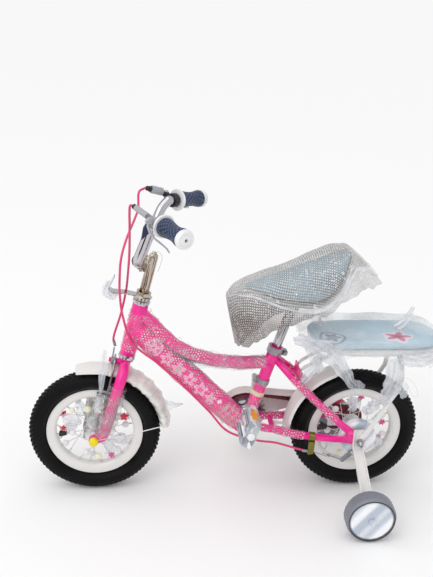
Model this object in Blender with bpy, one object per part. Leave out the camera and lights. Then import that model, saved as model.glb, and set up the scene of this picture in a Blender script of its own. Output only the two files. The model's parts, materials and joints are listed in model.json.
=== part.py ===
"""A child's 12 inch bicycle with stabilisers, a rear passenger seat and its shipping film.

Metres, +Z up. The bicycle points along -X, its left side is -Y, and it stands on Z = 0.
Side-view places are measured from the ground point under the rear axle and moved by REAR_X,
so that the origin is the middle of the whole object's base.
"""
import math

import bmesh
import bpy
from mathutils import Matrix, Vector

# Where the rear axle stands, so that the box of the whole bicycle is centred on the origin
REAR_X = 0.2925

# Wheels, 12 inch
WHEEL_R = 0.152
WHEELBASE = 0.613
TYRE_HALF_WIDTH = 0.026
TYRE_SEGMENTS = 36
RIM_SEGMENTS = 32
RIM_OUTER_R = 0.1112
RIM_INNER_R = 0.089
RIM_HALF_WIDTH = 0.0145
AXLE_R = 0.0048
AXLE_HOLE_R = 0.0053
SPOKES_PER_SIDE = 10
SPOKE_R = 0.0011
SPOKE_HUB_R = 0.0185
SPOKE_LEAD = math.radians(58)
SPOKE_STAGGER = 0.0007
BRAKE_DRUM_R = 0.035
FREEWHEEL_BOSS_R = 0.015

# Clearance between pieces that touch, and the walls of thin shells
GAP = 0.0003
BORE_GAP = 0.0005
SHEET = 0.002
MUDGUARD_WALL = 0.0016
MUDGUARD_FRONT_R = 0.1685
MUDGUARD_REAR_R = 0.1700

# Steering: two points of the head tube's axis, and distances up it from its foot
HEAD_LOW = (-0.537, 0.0, 0.349)
HEAD_HIGH = (-0.507, 0.0, 0.471)
HEAD_TUBE_R = 0.018
HEAD_BORE_R = 0.015
STEERER_R = 0.0127
STEERER_TOP = 0.1525
FORK_ARCH = 0.0245
QUILL_R = 0.011
BAR_R = 0.011
BAR_CENTRE = (-0.509, 0.0, 0.572)
BAR_TURN = math.radians(-8.5)
GRIP_START = (-0.4435, 0.1173, 0.6795)
GRIP_END = (-0.4018, 0.1701, 0.6728)
GRIP_LENGTH = 0.0710
CABLE_R = 0.0026
WIRE_SHARE = 0.4

# Drive: half inch chain; the seats and teeth are measured from each roller
PITCH = 0.0127
RING_TEETH = 24
SPROCKET_TEETH = 14
CHAIN_LINKS = 60
ROLLER_R = 0.0035
ROLLER_ALONG = 0.0030
CHAIN_Y = 0.044
CHAIN_INNER = 0.00165
CHAIN_PLATE = 0.0010
CHAIN_PIN_HALF = 0.0040
CHAIN_WAIST_HALF = 0.0030
SEAT_ACROSS = 0.0026
SEAT_DEPTH = 0.0044
TIP_ACROSS = 0.0054
TIP_RISE = 0.0030
TOOTH_THICK = 0.0022
BRACKET_Z = 0.172
SPINDLE_R = 0.0085
CRANK_LENGTH = 0.076
CRANK_LEAN = math.radians(11)
PEDAL_LEAN = math.radians(21)
PEDAL_PIN_R = 0.005

# Frame tubes
SEAT_TUBE_TOP = (-0.199, 0.0, 0.367)
SEAT_TUBE_R = 0.0135
SEAT_SLEEVE_R = 0.0151
POST_R = 0.0111
BRACKET_SHELL_R = 0.021
BRACKET_HALF_WIDTH = 0.034
BRACKET_BORE_R = 0.010
TOP_TUBE_R = 0.0148
DOWN_TUBE_HALF_DEPTH = 0.028
DOWN_TUBE_HALF_WIDTH = 0.018
DROPOUT_Y = 0.056
DROPOUT_THICK = 0.005
DROPOUT_R = 0.015
BRIDGE_PLATE_X = (-0.1476, -0.1444)
CARRIER_Z = 0.3690

# Chain case
GUARD_R = 0.060
GUARD_PLATE_Y = (0.0575, 0.0595)
GUARD_LIP_Y = 0.0288

# Stabilisers
SMALL_WHEEL_R = 0.056
SMALL_WHEEL_HALF = (0.195, 0.234)
SMALL_AXLE_X = -0.0035
BRACKET_PLATE_X = -0.0020


def pitch_radius(teeth):
    """Radius of the circle through the roller centres of a sprocket."""
    return PITCH / (2 * math.sin(math.pi / teeth))


RING_R = pitch_radius(RING_TEETH)
SPROCKET_R = pitch_radius(SPROCKET_TEETH)


def run_point(walk, centres):
    """A point of the chain's upper half, walked from the ring's front to the sprocket's rear."""
    lean = math.acos((RING_R - SPROCKET_R) / centres)
    front = RING_R * (math.pi - lean)
    straight = math.sqrt(centres ** 2 - (RING_R - SPROCKET_R) ** 2)
    if walk < front:
        angle = math.pi - walk / RING_R
        return RING_R * math.cos(angle), RING_R * math.sin(angle)
    if walk < front + straight:
        part = walk - front
        along = (math.sin(lean), -math.cos(lean))
        start = (RING_R * math.cos(lean), RING_R * math.sin(lean))
        return start[0] + along[0] * part, start[1] + along[1] * part
    angle = lean - (walk - front - straight) / SPROCKET_R
    return centres + SPROCKET_R * math.cos(angle), SPROCKET_R * math.sin(angle)


def half_chain(centres):
    """Roller centres of the upper half, each one pitch from the last in a straight line."""
    walk = 0.0
    points = [run_point(walk, centres)]
    for _ in range(CHAIN_LINKS // 2):
        low, high = walk, walk + PITCH * 1.1
        for _ in range(40):
            walk = (low + high) / 2
            if math.dist(points[-1], run_point(walk, centres)) < PITCH:
                low = walk
            else:
                high = walk
        points.append(run_point(walk, centres))
    return points


def chain_centres():
    """The distance between sprocket centres at which the chain of whole links just closes."""
    low, high = PITCH * 18, PITCH * 23
    for _ in range(40):
        centres = (low + high) / 2
        if half_chain(centres)[-1][1] < 0:
            low = centres
        else:
            high = centres
    return centres


def at(x, y, z):
    """A place measured from the ground point under the rear axle."""
    return Vector((x + REAR_X, y, z))


REAR_AXLE = at(0, 0, WHEEL_R)
FRONT_AXLE = at(-WHEELBASE, 0, WHEEL_R)
BRACKET = at(-math.sqrt(chain_centres() ** 2 - (BRACKET_Z - WHEEL_R) ** 2), 0, BRACKET_Z)
SEAT_UP = (at(*SEAT_TUBE_TOP) - BRACKET).normalized()
STEER_BASE = at(*HEAD_LOW)
STEER_UP = (Vector(HEAD_HIGH) - Vector(HEAD_LOW)).normalized()
STEER_FORE = Vector((-STEER_UP.z, 0, STEER_UP.x))
HEAD_LENGTH = (Vector(HEAD_HIGH) - Vector(HEAD_LOW)).length
Y_AXIS = Vector((0, 1, 0))
Z_AXIS = Vector((0, 0, 1))


def steer(up, fore=0.0, y=0.0):
    """A place measured along the steering axis from the head tube's foot, and ahead of it."""
    return STEER_BASE + STEER_UP * up + STEER_FORE * fore + Y_AXIS * y


def seat_axis(up):
    """A place along the seat tube's axis, measured from the tube's top."""
    return at(*SEAT_TUBE_TOP) + SEAT_UP * up


# Looks: colour, roughness, metallic
LOOKS = {
    "pink_paint": ((0.90, 0.09, 0.35), 0.30, 0.0),
    "white_plastic": ((0.86, 0.86, 0.84), 0.42, 0.0),
    "white_paint": ((0.85, 0.86, 0.87), 0.35, 0.0),
    "chrome": ((0.78, 0.78, 0.80), 0.16, 1.0),
    "zinc": ((0.62, 0.63, 0.65), 0.35, 1.0),
    "tyre_rubber": ((0.02, 0.02, 0.023), 0.75, 0.0),
    "navy_rubber": ((0.07, 0.12, 0.24), 0.55, 0.0),
    "black_plastic": ((0.03, 0.03, 0.035), 0.45, 0.0),
    "blue_vinyl": ((0.52, 0.70, 0.80), 0.45, 0.0),
    "grey_plastic": ((0.36, 0.38, 0.42), 0.50, 0.0),
    "silver_plastic": ((0.80, 0.81, 0.83), 0.35, 0.0),
    "yellow_plastic": ((0.93, 0.80, 0.10), 0.40, 0.0),
    "pink_cable": ((0.88, 0.30, 0.46), 0.40, 0.0),
    "chain_steel": ((0.16, 0.05, 0.05), 0.45, 0.8),
    "gold_steel": ((0.42, 0.36, 0.12), 0.40, 0.9),
    "film": ((0.80, 0.82, 0.83), 0.30, 0.0),
}


def material(look):
    """The Principled BSDF of one look, made once."""
    if look in bpy.data.materials:
        return bpy.data.materials[look]
    colour, roughness, metallic = LOOKS[look]
    made = bpy.data.materials.new(look)
    made.use_nodes = True
    shader = made.node_tree.nodes["Principled BSDF"]
    shader.inputs["Base Color"].default_value = (*colour, 1)
    shader.inputs["Roughness"].default_value = roughness
    shader.inputs["Metallic"].default_value = metallic
    made.diffuse_color = (*colour, 1)
    return made


def clear_scene():
    for thing in list(bpy.data.objects):
        bpy.data.objects.remove(thing, do_unlink=True)


def joint(name, place, parent=None):
    """An empty on a joint's axis, which carries the pieces that turn about it."""
    made = bpy.data.objects.new(name, None)
    made.empty_display_size = 0.02
    bpy.context.scene.collection.objects.link(made)
    if parent:
        made.parent = parent
        made.location = place - world_place(parent)
    else:
        made.location = place
    return made


def world_place(thing):
    """An empty's place before any turn of its own, from its chain of parents."""
    place = thing.location.copy()
    while thing.parent:
        thing = thing.parent
        place += thing.location
    return place


def piece(name, bm, look, carrier=None):
    """Turns a bmesh in world places into a named object with its origin on its carrier."""
    base = world_place(carrier) if carrier else REAR_AXLE
    bmesh.ops.translate(bm, verts=bm.verts, vec=-base)
    bmesh.ops.recalc_face_normals(bm, faces=bm.faces)
    mesh = bpy.data.meshes.new(name)
    bm.to_mesh(mesh)
    bm.free()
    made = bpy.data.objects.new(name, mesh)
    bpy.context.scene.collection.objects.link(made)
    if carrier:
        made.parent = carrier
    else:
        made.location = base
    mesh.materials.append(material(look))
    smooth(mesh)
    return made


def smooth(mesh, degrees=35):
    mesh.shade_smooth()
    mesh.set_sharp_from_angle(angle=math.radians(degrees))


def combine(target, tools, operation="UNION"):
    """Joins or cuts a piece with others, which are used up."""
    for tool in tools:
        boolean = target.modifiers.new(operation.lower(), "BOOLEAN")
        boolean.operation = operation
        boolean.object = tool
        boolean.solver = "EXACT"
        boolean.use_self = operation == "UNION"
    bpy.context.view_layer.update()
    solid = target.evaluated_get(bpy.context.evaluated_depsgraph_get())
    mesh = bpy.data.meshes.new_from_object(solid)
    target.modifiers.clear()
    target.data = mesh
    for tool in tools:
        bpy.data.objects.remove(tool, do_unlink=True)
    smooth(mesh)
    return target


def scrap(bm):
    """A nameless body in world places, for a join or a cut."""
    bmesh.ops.recalc_face_normals(bm, faces=bm.faces)
    mesh = bpy.data.meshes.new("scrap")
    bm.to_mesh(mesh)
    bm.free()
    made = bpy.data.objects.new("scrap", mesh)
    bpy.context.scene.collection.objects.link(made)
    return made


def named(thing, name, look, carrier=None):
    """Names a joined body and puts its origin on its carrier."""
    base = world_place(carrier) if carrier else REAR_AXLE
    thing.name = name
    thing.data.name = name
    thing.data.transform(Matrix.Translation(-base))
    if carrier:
        thing.parent = carrier
    else:
        thing.location = base
    thing.data.materials.clear()
    thing.data.materials.append(material(look))
    smooth(thing.data)
    return thing


def square_axes(axis):
    """Two directions square to an axis and to each other."""
    axis = axis.normalized()
    helper = Z_AXIS if abs(axis.z) < 0.9 else Vector((1, 0, 0))
    side = axis.cross(helper).normalized()
    return side, axis.cross(side).normalized()


def ellipse(centre, side, up, half_side, half_up, sides):
    turns = (2 * math.pi * i / sides for i in range(sides))
    return [centre + side * half_side * math.cos(a) + up * half_up * math.sin(a) for a in turns]


def loft(bm, rings, closed=False):
    """Skins a row of point rings; an open row gets flat ends, a closed one joins up."""
    rows = [[bm.verts.new(point) for point in ring] for ring in rings]
    count = len(rows)
    size = len(rows[0])
    for i in range(count if closed else count - 1):
        first, second = rows[i], rows[(i + 1) % count]
        for j in range(size):
            k = (j + 1) % size
            bm.faces.new((first[j], first[k], second[k], second[j]))
    if not closed:
        bm.faces.new(rows[0])
        bm.faces.new(list(reversed(rows[-1])))
    return rows


def tube_rings(points, radii, sides, up=None):
    """Rings along a path, each square to it; a radius may be a (side, up) pair."""
    points = [Vector(p) for p in points]
    rings = []
    side = None
    for i, point in enumerate(points):
        ahead = points[min(i + 1, len(points) - 1)] - point
        behind = point - points[max(i - 1, 0)]
        along = (ahead.normalized() if ahead.length else behind.normalized())
        if behind.length and ahead.length:
            along = (ahead.normalized() + behind.normalized()).normalized()
        if up is not None:
            side = along.cross(up).normalized()
        elif side is None:
            side = square_axes(along)[0]
        else:
            side = (side - along * side.dot(along)).normalized()
        radius = radii[i] if isinstance(radii, (list, tuple)) else radii
        half_side, half_up = radius if isinstance(radius, tuple) else (radius, radius)
        rings.append(ellipse(point, side, along.cross(side), half_side, half_up, sides))
    return rings


def tube(bm, points, radii, sides=12, up=None):
    loft(bm, tube_rings(points, radii, sides, up))
    return bm


def rod(start, end, radius, sides=12):
    return tube(bmesh.new(), [start, end], radius, sides)


def turned(profile, centre, axis, sides, closed=True):
    """Turns a profile of (radius, height) pairs about an axis through a centre."""
    bm = bmesh.new()
    side, up = square_axes(axis)
    axis = axis.normalized()
    rings = [ellipse(centre + axis * height, side, up, radius, radius, sides)
             for radius, height in profile]
    loft(bm, rings, closed)
    return bm


def plate(outline, low, high):
    """Extrudes a side-view outline of (x, z) pairs between two widths."""
    bm = bmesh.new()
    loft(bm, [[at(x, y, z) for x, z in outline] for y in (low, high)])
    return bm


def arc(centre, radius, start, end, steps):
    """Points of a side-view arc, angles in degrees from +X towards +Z."""
    angles = [math.radians(start + (end - start) * i / steps) for i in range(steps + 1)]
    return [(centre[0] + radius * math.cos(a), centre[1] + radius * math.sin(a)) for a in angles]


def smooth_path(points, steps):
    """A Catmull-Rom curve through a route's own points."""
    points = [Vector(p) for p in points]
    padded = [points[0] * 2 - points[1], *points, points[-1] * 2 - points[-2]]
    path = []
    for i in range(1, len(padded) - 2):
        a, b, c, d = padded[i - 1:i + 3]
        for step in range(steps):
            t = step / steps
            path.append(0.5 * (2 * b + (c - a) * t + (2 * a - 5 * b + 4 * c - d) * t ** 2
                               + (3 * b - a - 3 * c + d) * t ** 3))
    return path + [points[-1]]


def even_path(points, spacing):
    """The same curve with its points an even distance apart."""
    fine = smooth_path(points, 24)
    length = sum((b - a).length for a, b in zip(fine, fine[1:]))
    count = max(2, round(length / spacing))
    even, walked, target = [fine[0]], 0.0, length / count
    for a, b in zip(fine, fine[1:]):
        step = (b - a).length
        while step and walked + step >= target * len(even) and len(even) < count:
            even.append(a.lerp(b, (target * len(even) - walked) / step))
        walked += step
    return even + [fine[-1]]


def cable(name, route, radius, look, carrier=None, wire=()):
    """A cable as a bevelled curve along its route; its inner wire may run on, thinner."""
    outer = even_path(route, radius * 5.8)
    points = outer + list(wire)
    curve = bpy.data.curves.new(name, "CURVE")
    curve.dimensions = "3D"
    curve.bevel_depth = radius
    curve.bevel_resolution = 2
    curve.use_fill_caps = True
    line = curve.splines.new("POLY")
    line.points.add(len(points) - 1)
    base = world_place(carrier) if carrier else REAR_AXLE
    for i, place in enumerate(points):
        line.points[i].co = (*(place - base), 1)
        line.points[i].radius = 1.0 if i < len(outer) else WIRE_SHARE
    made = bpy.data.objects.new(name, curve)
    bpy.context.scene.collection.objects.link(made)
    if carrier:
        made.parent = carrier
    else:
        made.location = base
    curve.materials.append(material(look))
    return made


def tube_body(points, radii, sides=14, up=None):
    return scrap(tube(bmesh.new(), points, radii, sides, up))


def solid(profile, centre, axis, sides):
    """A full round body from a profile that starts and ends on its flat ends."""
    return turned(profile, centre, axis, sides, closed=False)


def block(low, high):
    """A box between two side-view corners given as (x, y, z)."""
    low, high = Vector(low), Vector(high)
    ring = [(low.x, low.z), (high.x, low.z), (high.x, high.z), (low.x, high.z)]
    return plate(ring, low.y, high.y)


def capsule(first, r_first, second, r_second, steps):
    """A side-view outline round two circles."""
    first, second = Vector(first), Vector(second)
    along = second - first
    heading = math.degrees(math.atan2(along.y, along.x))
    spread = math.degrees(math.acos((r_first - r_second) / along.length))
    back = arc(first, r_first, heading + spread, heading + 360 - spread, steps)
    return back + arc(second, r_second, heading - spread, heading + spread, steps)


# Frame


def down_tube():
    """The big oval tube from the head to the bottom bracket."""
    start = steer(0.062, -0.006)
    end = BRACKET + Vector((-0.006, 0, -0.012))
    stations = ((0, 0.88), (0.3, 1.0), (0.6, 1.03), (0.85, 0.98), (1, 0.80))
    points = [start.lerp(end, t) for t, _ in stations]
    halves = [(DOWN_TUBE_HALF_WIDTH, DOWN_TUBE_HALF_DEPTH * depth) for _, depth in stations]
    return tube_body(points, halves, 14)


def top_tube():
    """The low tube that dips from the head and runs level to the seat tube."""
    route = [at(-0.512, 0, 0.452), at(-0.482, 0, 0.423), at(-0.460, 0, 0.397), at(-0.432, 0, 0.370),
             at(-0.395, 0, 0.3485), at(-0.345, 0, 0.3325), at(-0.285, 0, 0.3250), at(-0.212, 0, 0.3265)]
    return tube_body(route, TOP_TUBE_R, 12)


def seat_tube():
    """The seat tube with the thicker sleeve at its top that the collar closes on."""
    points = [BRACKET, seat_axis(-0.040), seat_axis(-0.036), seat_axis(0)]
    return tube_body(points, [SEAT_TUBE_R, SEAT_TUBE_R, SEAT_SLEEVE_R, SEAT_SLEEVE_R], 16)


def chain_stay(sign):
    """A chain stay, drawn in beside the chainring, spread behind it, flattened at its end."""
    route = [(-0.254, 0.0220, 0.1715), (-0.226, 0.0265, 0.1700), (-0.196, 0.0315, 0.1665),
             (-0.160, 0.0425, 0.1620), (-0.108, 0.0500, 0.1570), (-0.060, 0.0550, 0.1535),
             (-0.050, 0.0562, 0.1530), (-0.036, DROPOUT_Y, 0.1520), (-0.012, DROPOUT_Y, 0.1510)]
    sizes = [(0.0088, 0.0088)] * 5 + [(0.0088, 0.0070), (0.0090, 0.0042), (0.0092, 0.0024),
                                      (0.0090, 0.0022)]
    return tube_body([at(x, sign * y, z) for x, y, z in route], sizes, 8, Y_AXIS)


def seat_stay(sign):
    route = [(-0.199, 0.010, 0.3360), (-0.166, 0.030, 0.3035), (-0.102, 0.047, 0.2440),
             (-0.046, 0.0565, 0.1930), (-0.038, DROPOUT_Y, 0.1860), (-0.030, DROPOUT_Y, 0.1795),
             (-0.010, DROPOUT_Y, 0.1610)]
    sizes = [(0.0082, 0.0082)] * 3 + [(0.0084, 0.0068), (0.0088, 0.0042), (0.0090, 0.0024),
                                      (0.0086, 0.0022)]
    return tube_body([at(x, sign * y, z) for x, y, z in route], sizes, 8, Y_AXIS)


def dropout(sign):
    """A plate round the rear axle that both stays run into."""
    outline = arc((0, WHEEL_R), DROPOUT_R, -100, 55, 5)
    outline += [(-0.010, 0.1755), (-0.028, 0.1700), (-0.036, 0.1530), (-0.028, 0.1440)]
    return scrap(plate(outline, sign * (DROPOUT_Y - DROPOUT_THICK / 2),
                       sign * (DROPOUT_Y + DROPOUT_THICK / 2)))


def carrier_plate():
    """The plate that stands on the upper bridge, for the carrier's front struts."""
    bm = bmesh.new()
    low, high = BRIDGE_PLATE_X
    loft(bm, [[at(x, y, z) for x, y in ((low, -half), (high, -half), (high, half), (low, half))]
              for z, half in ((0.287, 0.036), (0.302, 0.032), (0.313, 0.027), (0.319, 0.024))])
    return scrap(bm)


def frame():
    """The welded frame: tubes joined into one piece, then bored."""
    parts = [top_tube(), seat_tube(), carrier_plate()]
    parts.append(scrap(rod(BRACKET - Y_AXIS * BRACKET_HALF_WIDTH,
                           BRACKET + Y_AXIS * BRACKET_HALF_WIDTH, BRACKET_SHELL_R, 16)))
    parts.append(scrap(rod(STEER_BASE, steer(HEAD_LENGTH), HEAD_TUBE_R, 14)))
    for sign in (-1, 1):
        parts += [chain_stay(sign), seat_stay(sign), dropout(sign)]
    parts.append(scrap(rod(at(-0.200, -0.030, 0.167), at(-0.200, 0.030, 0.167), 0.0062, 8)))
    parts.append(scrap(rod(at(-0.150, -0.033, 0.290), at(-0.150, 0.033, 0.290), 0.0068, 8)))
    whole = combine(down_tube(), parts)
    combine(whole, [
        scrap(rod(steer(-0.002), steer(HEAD_LENGTH + 0.002), HEAD_BORE_R, 14)),
        scrap(rod(seat_axis(-0.118), seat_axis(0.002), POST_R + GAP, 14)),
        scrap(rod(BRACKET - Y_AXIS * 0.05, BRACKET + Y_AXIS * 0.05, BRACKET_BORE_R, 12)),
        scrap(rod(REAR_AXLE - Y_AXIS * 0.07, REAR_AXLE + Y_AXIS * 0.07, AXLE_HOLE_R, 12)),
    ], "DIFFERENCE")
    return named(whole, "frame", "pink_paint")


def headset_cups():
    """The two bearing cups pressed over the head tube's ends."""
    lower = [(0.0136, -0.0090), (0.0195, -0.0090), (0.0195, -0.0040), (0.0182, -GAP), (0.0136, -GAP)]
    upper = [(0.0136, HEAD_LENGTH + GAP), (0.0182, HEAD_LENGTH + GAP), (0.0198, HEAD_LENGTH + 0.0045),
             (0.0198, HEAD_LENGTH + 0.0085), (0.0165, HEAD_LENGTH + 0.0109),
             (0.0136, HEAD_LENGTH + 0.0109)]
    piece("headset_lower_cup", turned(lower, STEER_BASE, STEER_UP, 16), "chrome")
    piece("headset_upper_cup", turned(upper, STEER_BASE, STEER_UP, 16), "chrome")


def seat_collar():
    """The band that closes the seat tube's sleeve, split at the back between two ears."""
    top = seat_axis(-0.001)
    up = SEAT_UP
    back = Vector((up.z, 0, -up.x))
    inner = SEAT_SLEEVE_R + GAP
    band = scrap(turned([(inner, -0.016), (0.0186, -0.016), (0.0186, 0), (inner, 0)], top, up, 16))
    ear = bmesh.new()
    loft(ear, [[top + up * h + back * b + Y_AXIS * y for h, b in
                ((-0.015, 0.0165), (-0.015, 0.0250), (-0.012, 0.0290), (-0.004, 0.0290),
                 (-0.001, 0.0250), (-0.001, 0.0165))] for y in (-0.0060, 0.0060)])
    combine(band, [scrap(ear)])
    slot = bmesh.new()
    loft(slot, [[top + up * h + back * b + Y_AXIS * y for h, b in
                 ((-0.020, 0.010), (-0.020, 0.035), (0.004, 0.035), (0.004, 0.010))]
                for y in (-0.0012, 0.0012)])
    combine(band, [scrap(slot)], "DIFFERENCE")
    bolt = top - up * 0.008 + back * 0.0235
    combine(band, [scrap(rod(bolt - Y_AXIS * 0.0105, bolt + Y_AXIS * 0.0105, 0.0030, 6)),
                   scrap(rod(bolt - Y_AXIS * 0.0105, bolt - Y_AXIS * 0.0065, 0.0052, 6)),
                   scrap(rod(bolt + Y_AXIS * 0.0065, bolt + Y_AXIS * 0.0105, 0.0052, 6))])
    named(band, "seat_collar", "zinc")


def rear_axle():
    """The threaded rear axle with the nut at each end."""
    whole = scrap(rod(REAR_AXLE - Y_AXIS * 0.084, REAR_AXLE + Y_AXIS * 0.084, AXLE_R, 12))
    nuts = [scrap(rod(REAR_AXLE + Y_AXIS * sign * 0.0664, REAR_AXLE + Y_AXIS * sign * 0.0745,
                      0.0092, 6)) for sign in (-1, 1)]
    named(combine(whole, nuts), "rear_axle", "zinc")


# Stabilisers


def stabiliser_bracket(name, sign):
    """The pressed channel from the rear axle down and out to the small wheel, with its bolt."""
    half, wall = 0.0125, 0.003
    path = ((0.0590, 0.180, 0.0035), (0.0590, 0.140, 0.0035), (0.0612, 0.1315, 0.006),
            (0.1200, 0.1000, 0.008), (0.1760, 0.0695, 0.008), (0.1868, 0.0610, 0.0045),
            (0.1880, 0.0540, 0.0035), (0.1880, 0.0420, 0.0035))
    bm = bmesh.new()
    rings = []
    for i, (y, z, flange) in enumerate(path):
        before, after = path[max(i - 1, 0)], path[min(i + 1, len(path) - 1)]
        along = Vector((0, after[0] - before[0], after[1] - before[1])).normalized()
        out = Vector((0, -along.z, along.y))
        section = ((-half, 0), (half, 0), (half, flange), (half - wall, flange),
                   (half - wall, wall), (wall - half, wall), (wall - half, flange), (-half, flange))
        points = [Vector((BRACKET_PLATE_X + x, y, z)) + out * n for x, n in section]
        rings.append([at(p.x, sign * p.y, p.z) for p in points])
    loft(bm, rings)
    whole = scrap(bm)
    wheel = at(SMALL_AXLE_X, 0, SMALL_WHEEL_R)
    combine(whole, [
        scrap(rod(wheel + Y_AXIS * sign * 0.1885, wheel + Y_AXIS * sign * 0.2362, 0.0050, 10)),
        scrap(rod(wheel + Y_AXIS * sign * 0.1885, wheel + Y_AXIS * sign * 0.1945, 0.0088, 10)),
        scrap(rod(wheel + Y_AXIS * sign * 0.2350, wheel + Y_AXIS * sign * 0.2375, 0.0085, 6)),
    ])
    combine(whole, [scrap(rod(REAR_AXLE, REAR_AXLE + Y_AXIS * sign * 0.07, AXLE_HOLE_R, 12))],
            "DIFFERENCE")
    named(whole, name, "white_paint")


def stabiliser_wheel(side, sign, carrier):
    """The hard rubber wheel and the pressed cover let into its outer face."""
    centre = world_place(carrier)
    axis = Y_AXIS * sign
    low, high = SMALL_WHEEL_HALF
    tread = [(0.0056, low + 0.001), (0.0200, low + 0.0035), (0.0520, low),
             (SMALL_WHEEL_R, low + 0.007), (SMALL_WHEEL_R, high - 0.007), (0.0520, high),
             (0.0508, high - 0.004), (0.0056, high - 0.004)]
    cover = [(0.0056, high - 0.0037), (0.0503, high - 0.0037), (0.0460, high - 0.0008),
             (0.0200, high - 0.0018), (0.0056, high + 0.0003)]
    piece("stabiliser_wheel_" + side, turned(tread, centre, axis, 24), "grey_plastic", carrier)
    piece("stabiliser_disc_" + side, turned(cover, centre, axis, 20), "silver_plastic", carrier)


# Chain case and rear trim


def chain_guard():
    """A flat half case: the disc over the chainring, the bar over the chain, a lip over both."""
    cx, cz = BRACKET.x - REAR_X, BRACKET_Z
    top = [(-0.102, 0.2110), (-0.105, 0.2190), (-0.155, 0.2220), (-0.210, 0.2275)]
    around = arc((cx, cz), GUARD_R, 90, 346, 18)
    under = [(-0.170, 0.1670), (-0.128, 0.1800), (-0.110, 0.1890), (-0.103, 0.2000)]
    whole = scrap(plate(top + around + under, *GUARD_PLATE_Y))
    lip_outer = [(x, z - 0.0002) for x, z in top[1:]] + arc((cx, cz), GUARD_R - 0.0002, 90, 205, 8)
    lip_inner = [(x, z - 0.0022) for x, z in top[1:]] + arc((cx, cz), GUARD_R - 0.0022, 90, 205, 8)
    lip = scrap(plate(lip_outer + lip_inner[::-1], GUARD_LIP_Y, GUARD_PLATE_Y[1] - 0.0008))
    foot = scrap(block((-0.249, 0.0146, 0.2280), (-0.237, GUARD_LIP_Y + 0.002, 0.2298)))
    ear = scrap(block((-0.2492, 0.0146, 0.2285), (-0.2368, 0.0168, 0.2860)))
    combine(whole, [lip, foot, ear])
    eye = BRACKET + Y_AXIS * GUARD_PLATE_Y[0]
    combine(whole, [scrap(rod(eye - Y_AXIS * 0.004, eye + Y_AXIS * 0.006, 0.022, 18))], "DIFFERENCE")
    named(whole, "chain_guard", "white_plastic")


def guard_clip():
    """The steel clip round the seat tube that the chain case hangs from."""
    centre = seat_axis(-0.092)
    inner, outer = SEAT_TUBE_R + BORE_GAP, SEAT_TUBE_R + 0.0022
    band = scrap(turned([(inner, -0.0065), (outer, -0.0065), (outer, 0.0065), (inner, 0.0065)],
                        centre, SEAT_UP, 16))
    lug = centre - Vector((SEAT_UP.z, 0, -SEAT_UP.x)) * 0.0190
    combine(band, [scrap(rod(lug - Y_AXIS * 0.0070, lug + Y_AXIS * 0.0142, 0.0058, 8)),
                   scrap(rod(lug - Y_AXIS * 0.0095, lug - Y_AXIS * 0.0065, 0.0042, 6))])
    named(band, "guard_clip", "zinc")


def mudguard(centre, radius, half, start, end, steps):
    """A rolled guard: a thin arched strip swept round a wheel, its ends drawn in."""
    outer = [(-1.0, -0.0105), (-0.92, -0.0042), (-0.50, -0.0002), (0.50, -0.0002), (0.92, -0.0042),
             (1.0, -0.0105)]
    wall = MUDGUARD_WALL
    inner = [(0.945, -0.0105), (0.86, -0.0056), (0.46, -wall), (-0.46, -wall), (-0.86, -0.0056),
             (-0.945, -0.0105)]
    rings = []
    for i in range(steps + 1):
        angle = math.radians(start + (end - start) * i / steps)
        ray = Vector((math.cos(angle), 0, math.sin(angle)))
        width = half * (0.80 if i in (0, steps) else 1.0)
        rings.append([centre + ray * (radius + drop) + Y_AXIS * width * across
                      for across, drop in outer + inner])
    bm = bmesh.new()
    loft(bm, rings)
    return scrap(bm)


def rear_mudguard():
    """Covers the front quarter of the rear wheel, with a stand-off to each bridge tube."""
    whole = mudguard(REAR_AXLE, MUDGUARD_REAR_R, 0.0275, 182, 107, 11)
    tabs = []
    for x, z, reach in ((-0.200, 0.167, 0.0068), (-0.150, 0.290, 0.0074)):
        bridge = at(x, 0, z)
        inward = (REAR_AXLE - bridge).normalized()
        start = bridge + inward * reach
        end = REAR_AXLE - inward * (MUDGUARD_REAR_R - 0.0008)
        tabs.append(tube_body([start, end], (0.0060, 0.0016), 8, Y_AXIS))
    named(combine(whole, tabs), "rear_mudguard", "white_plastic")


# Rear carrier and the passenger's seat


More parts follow.
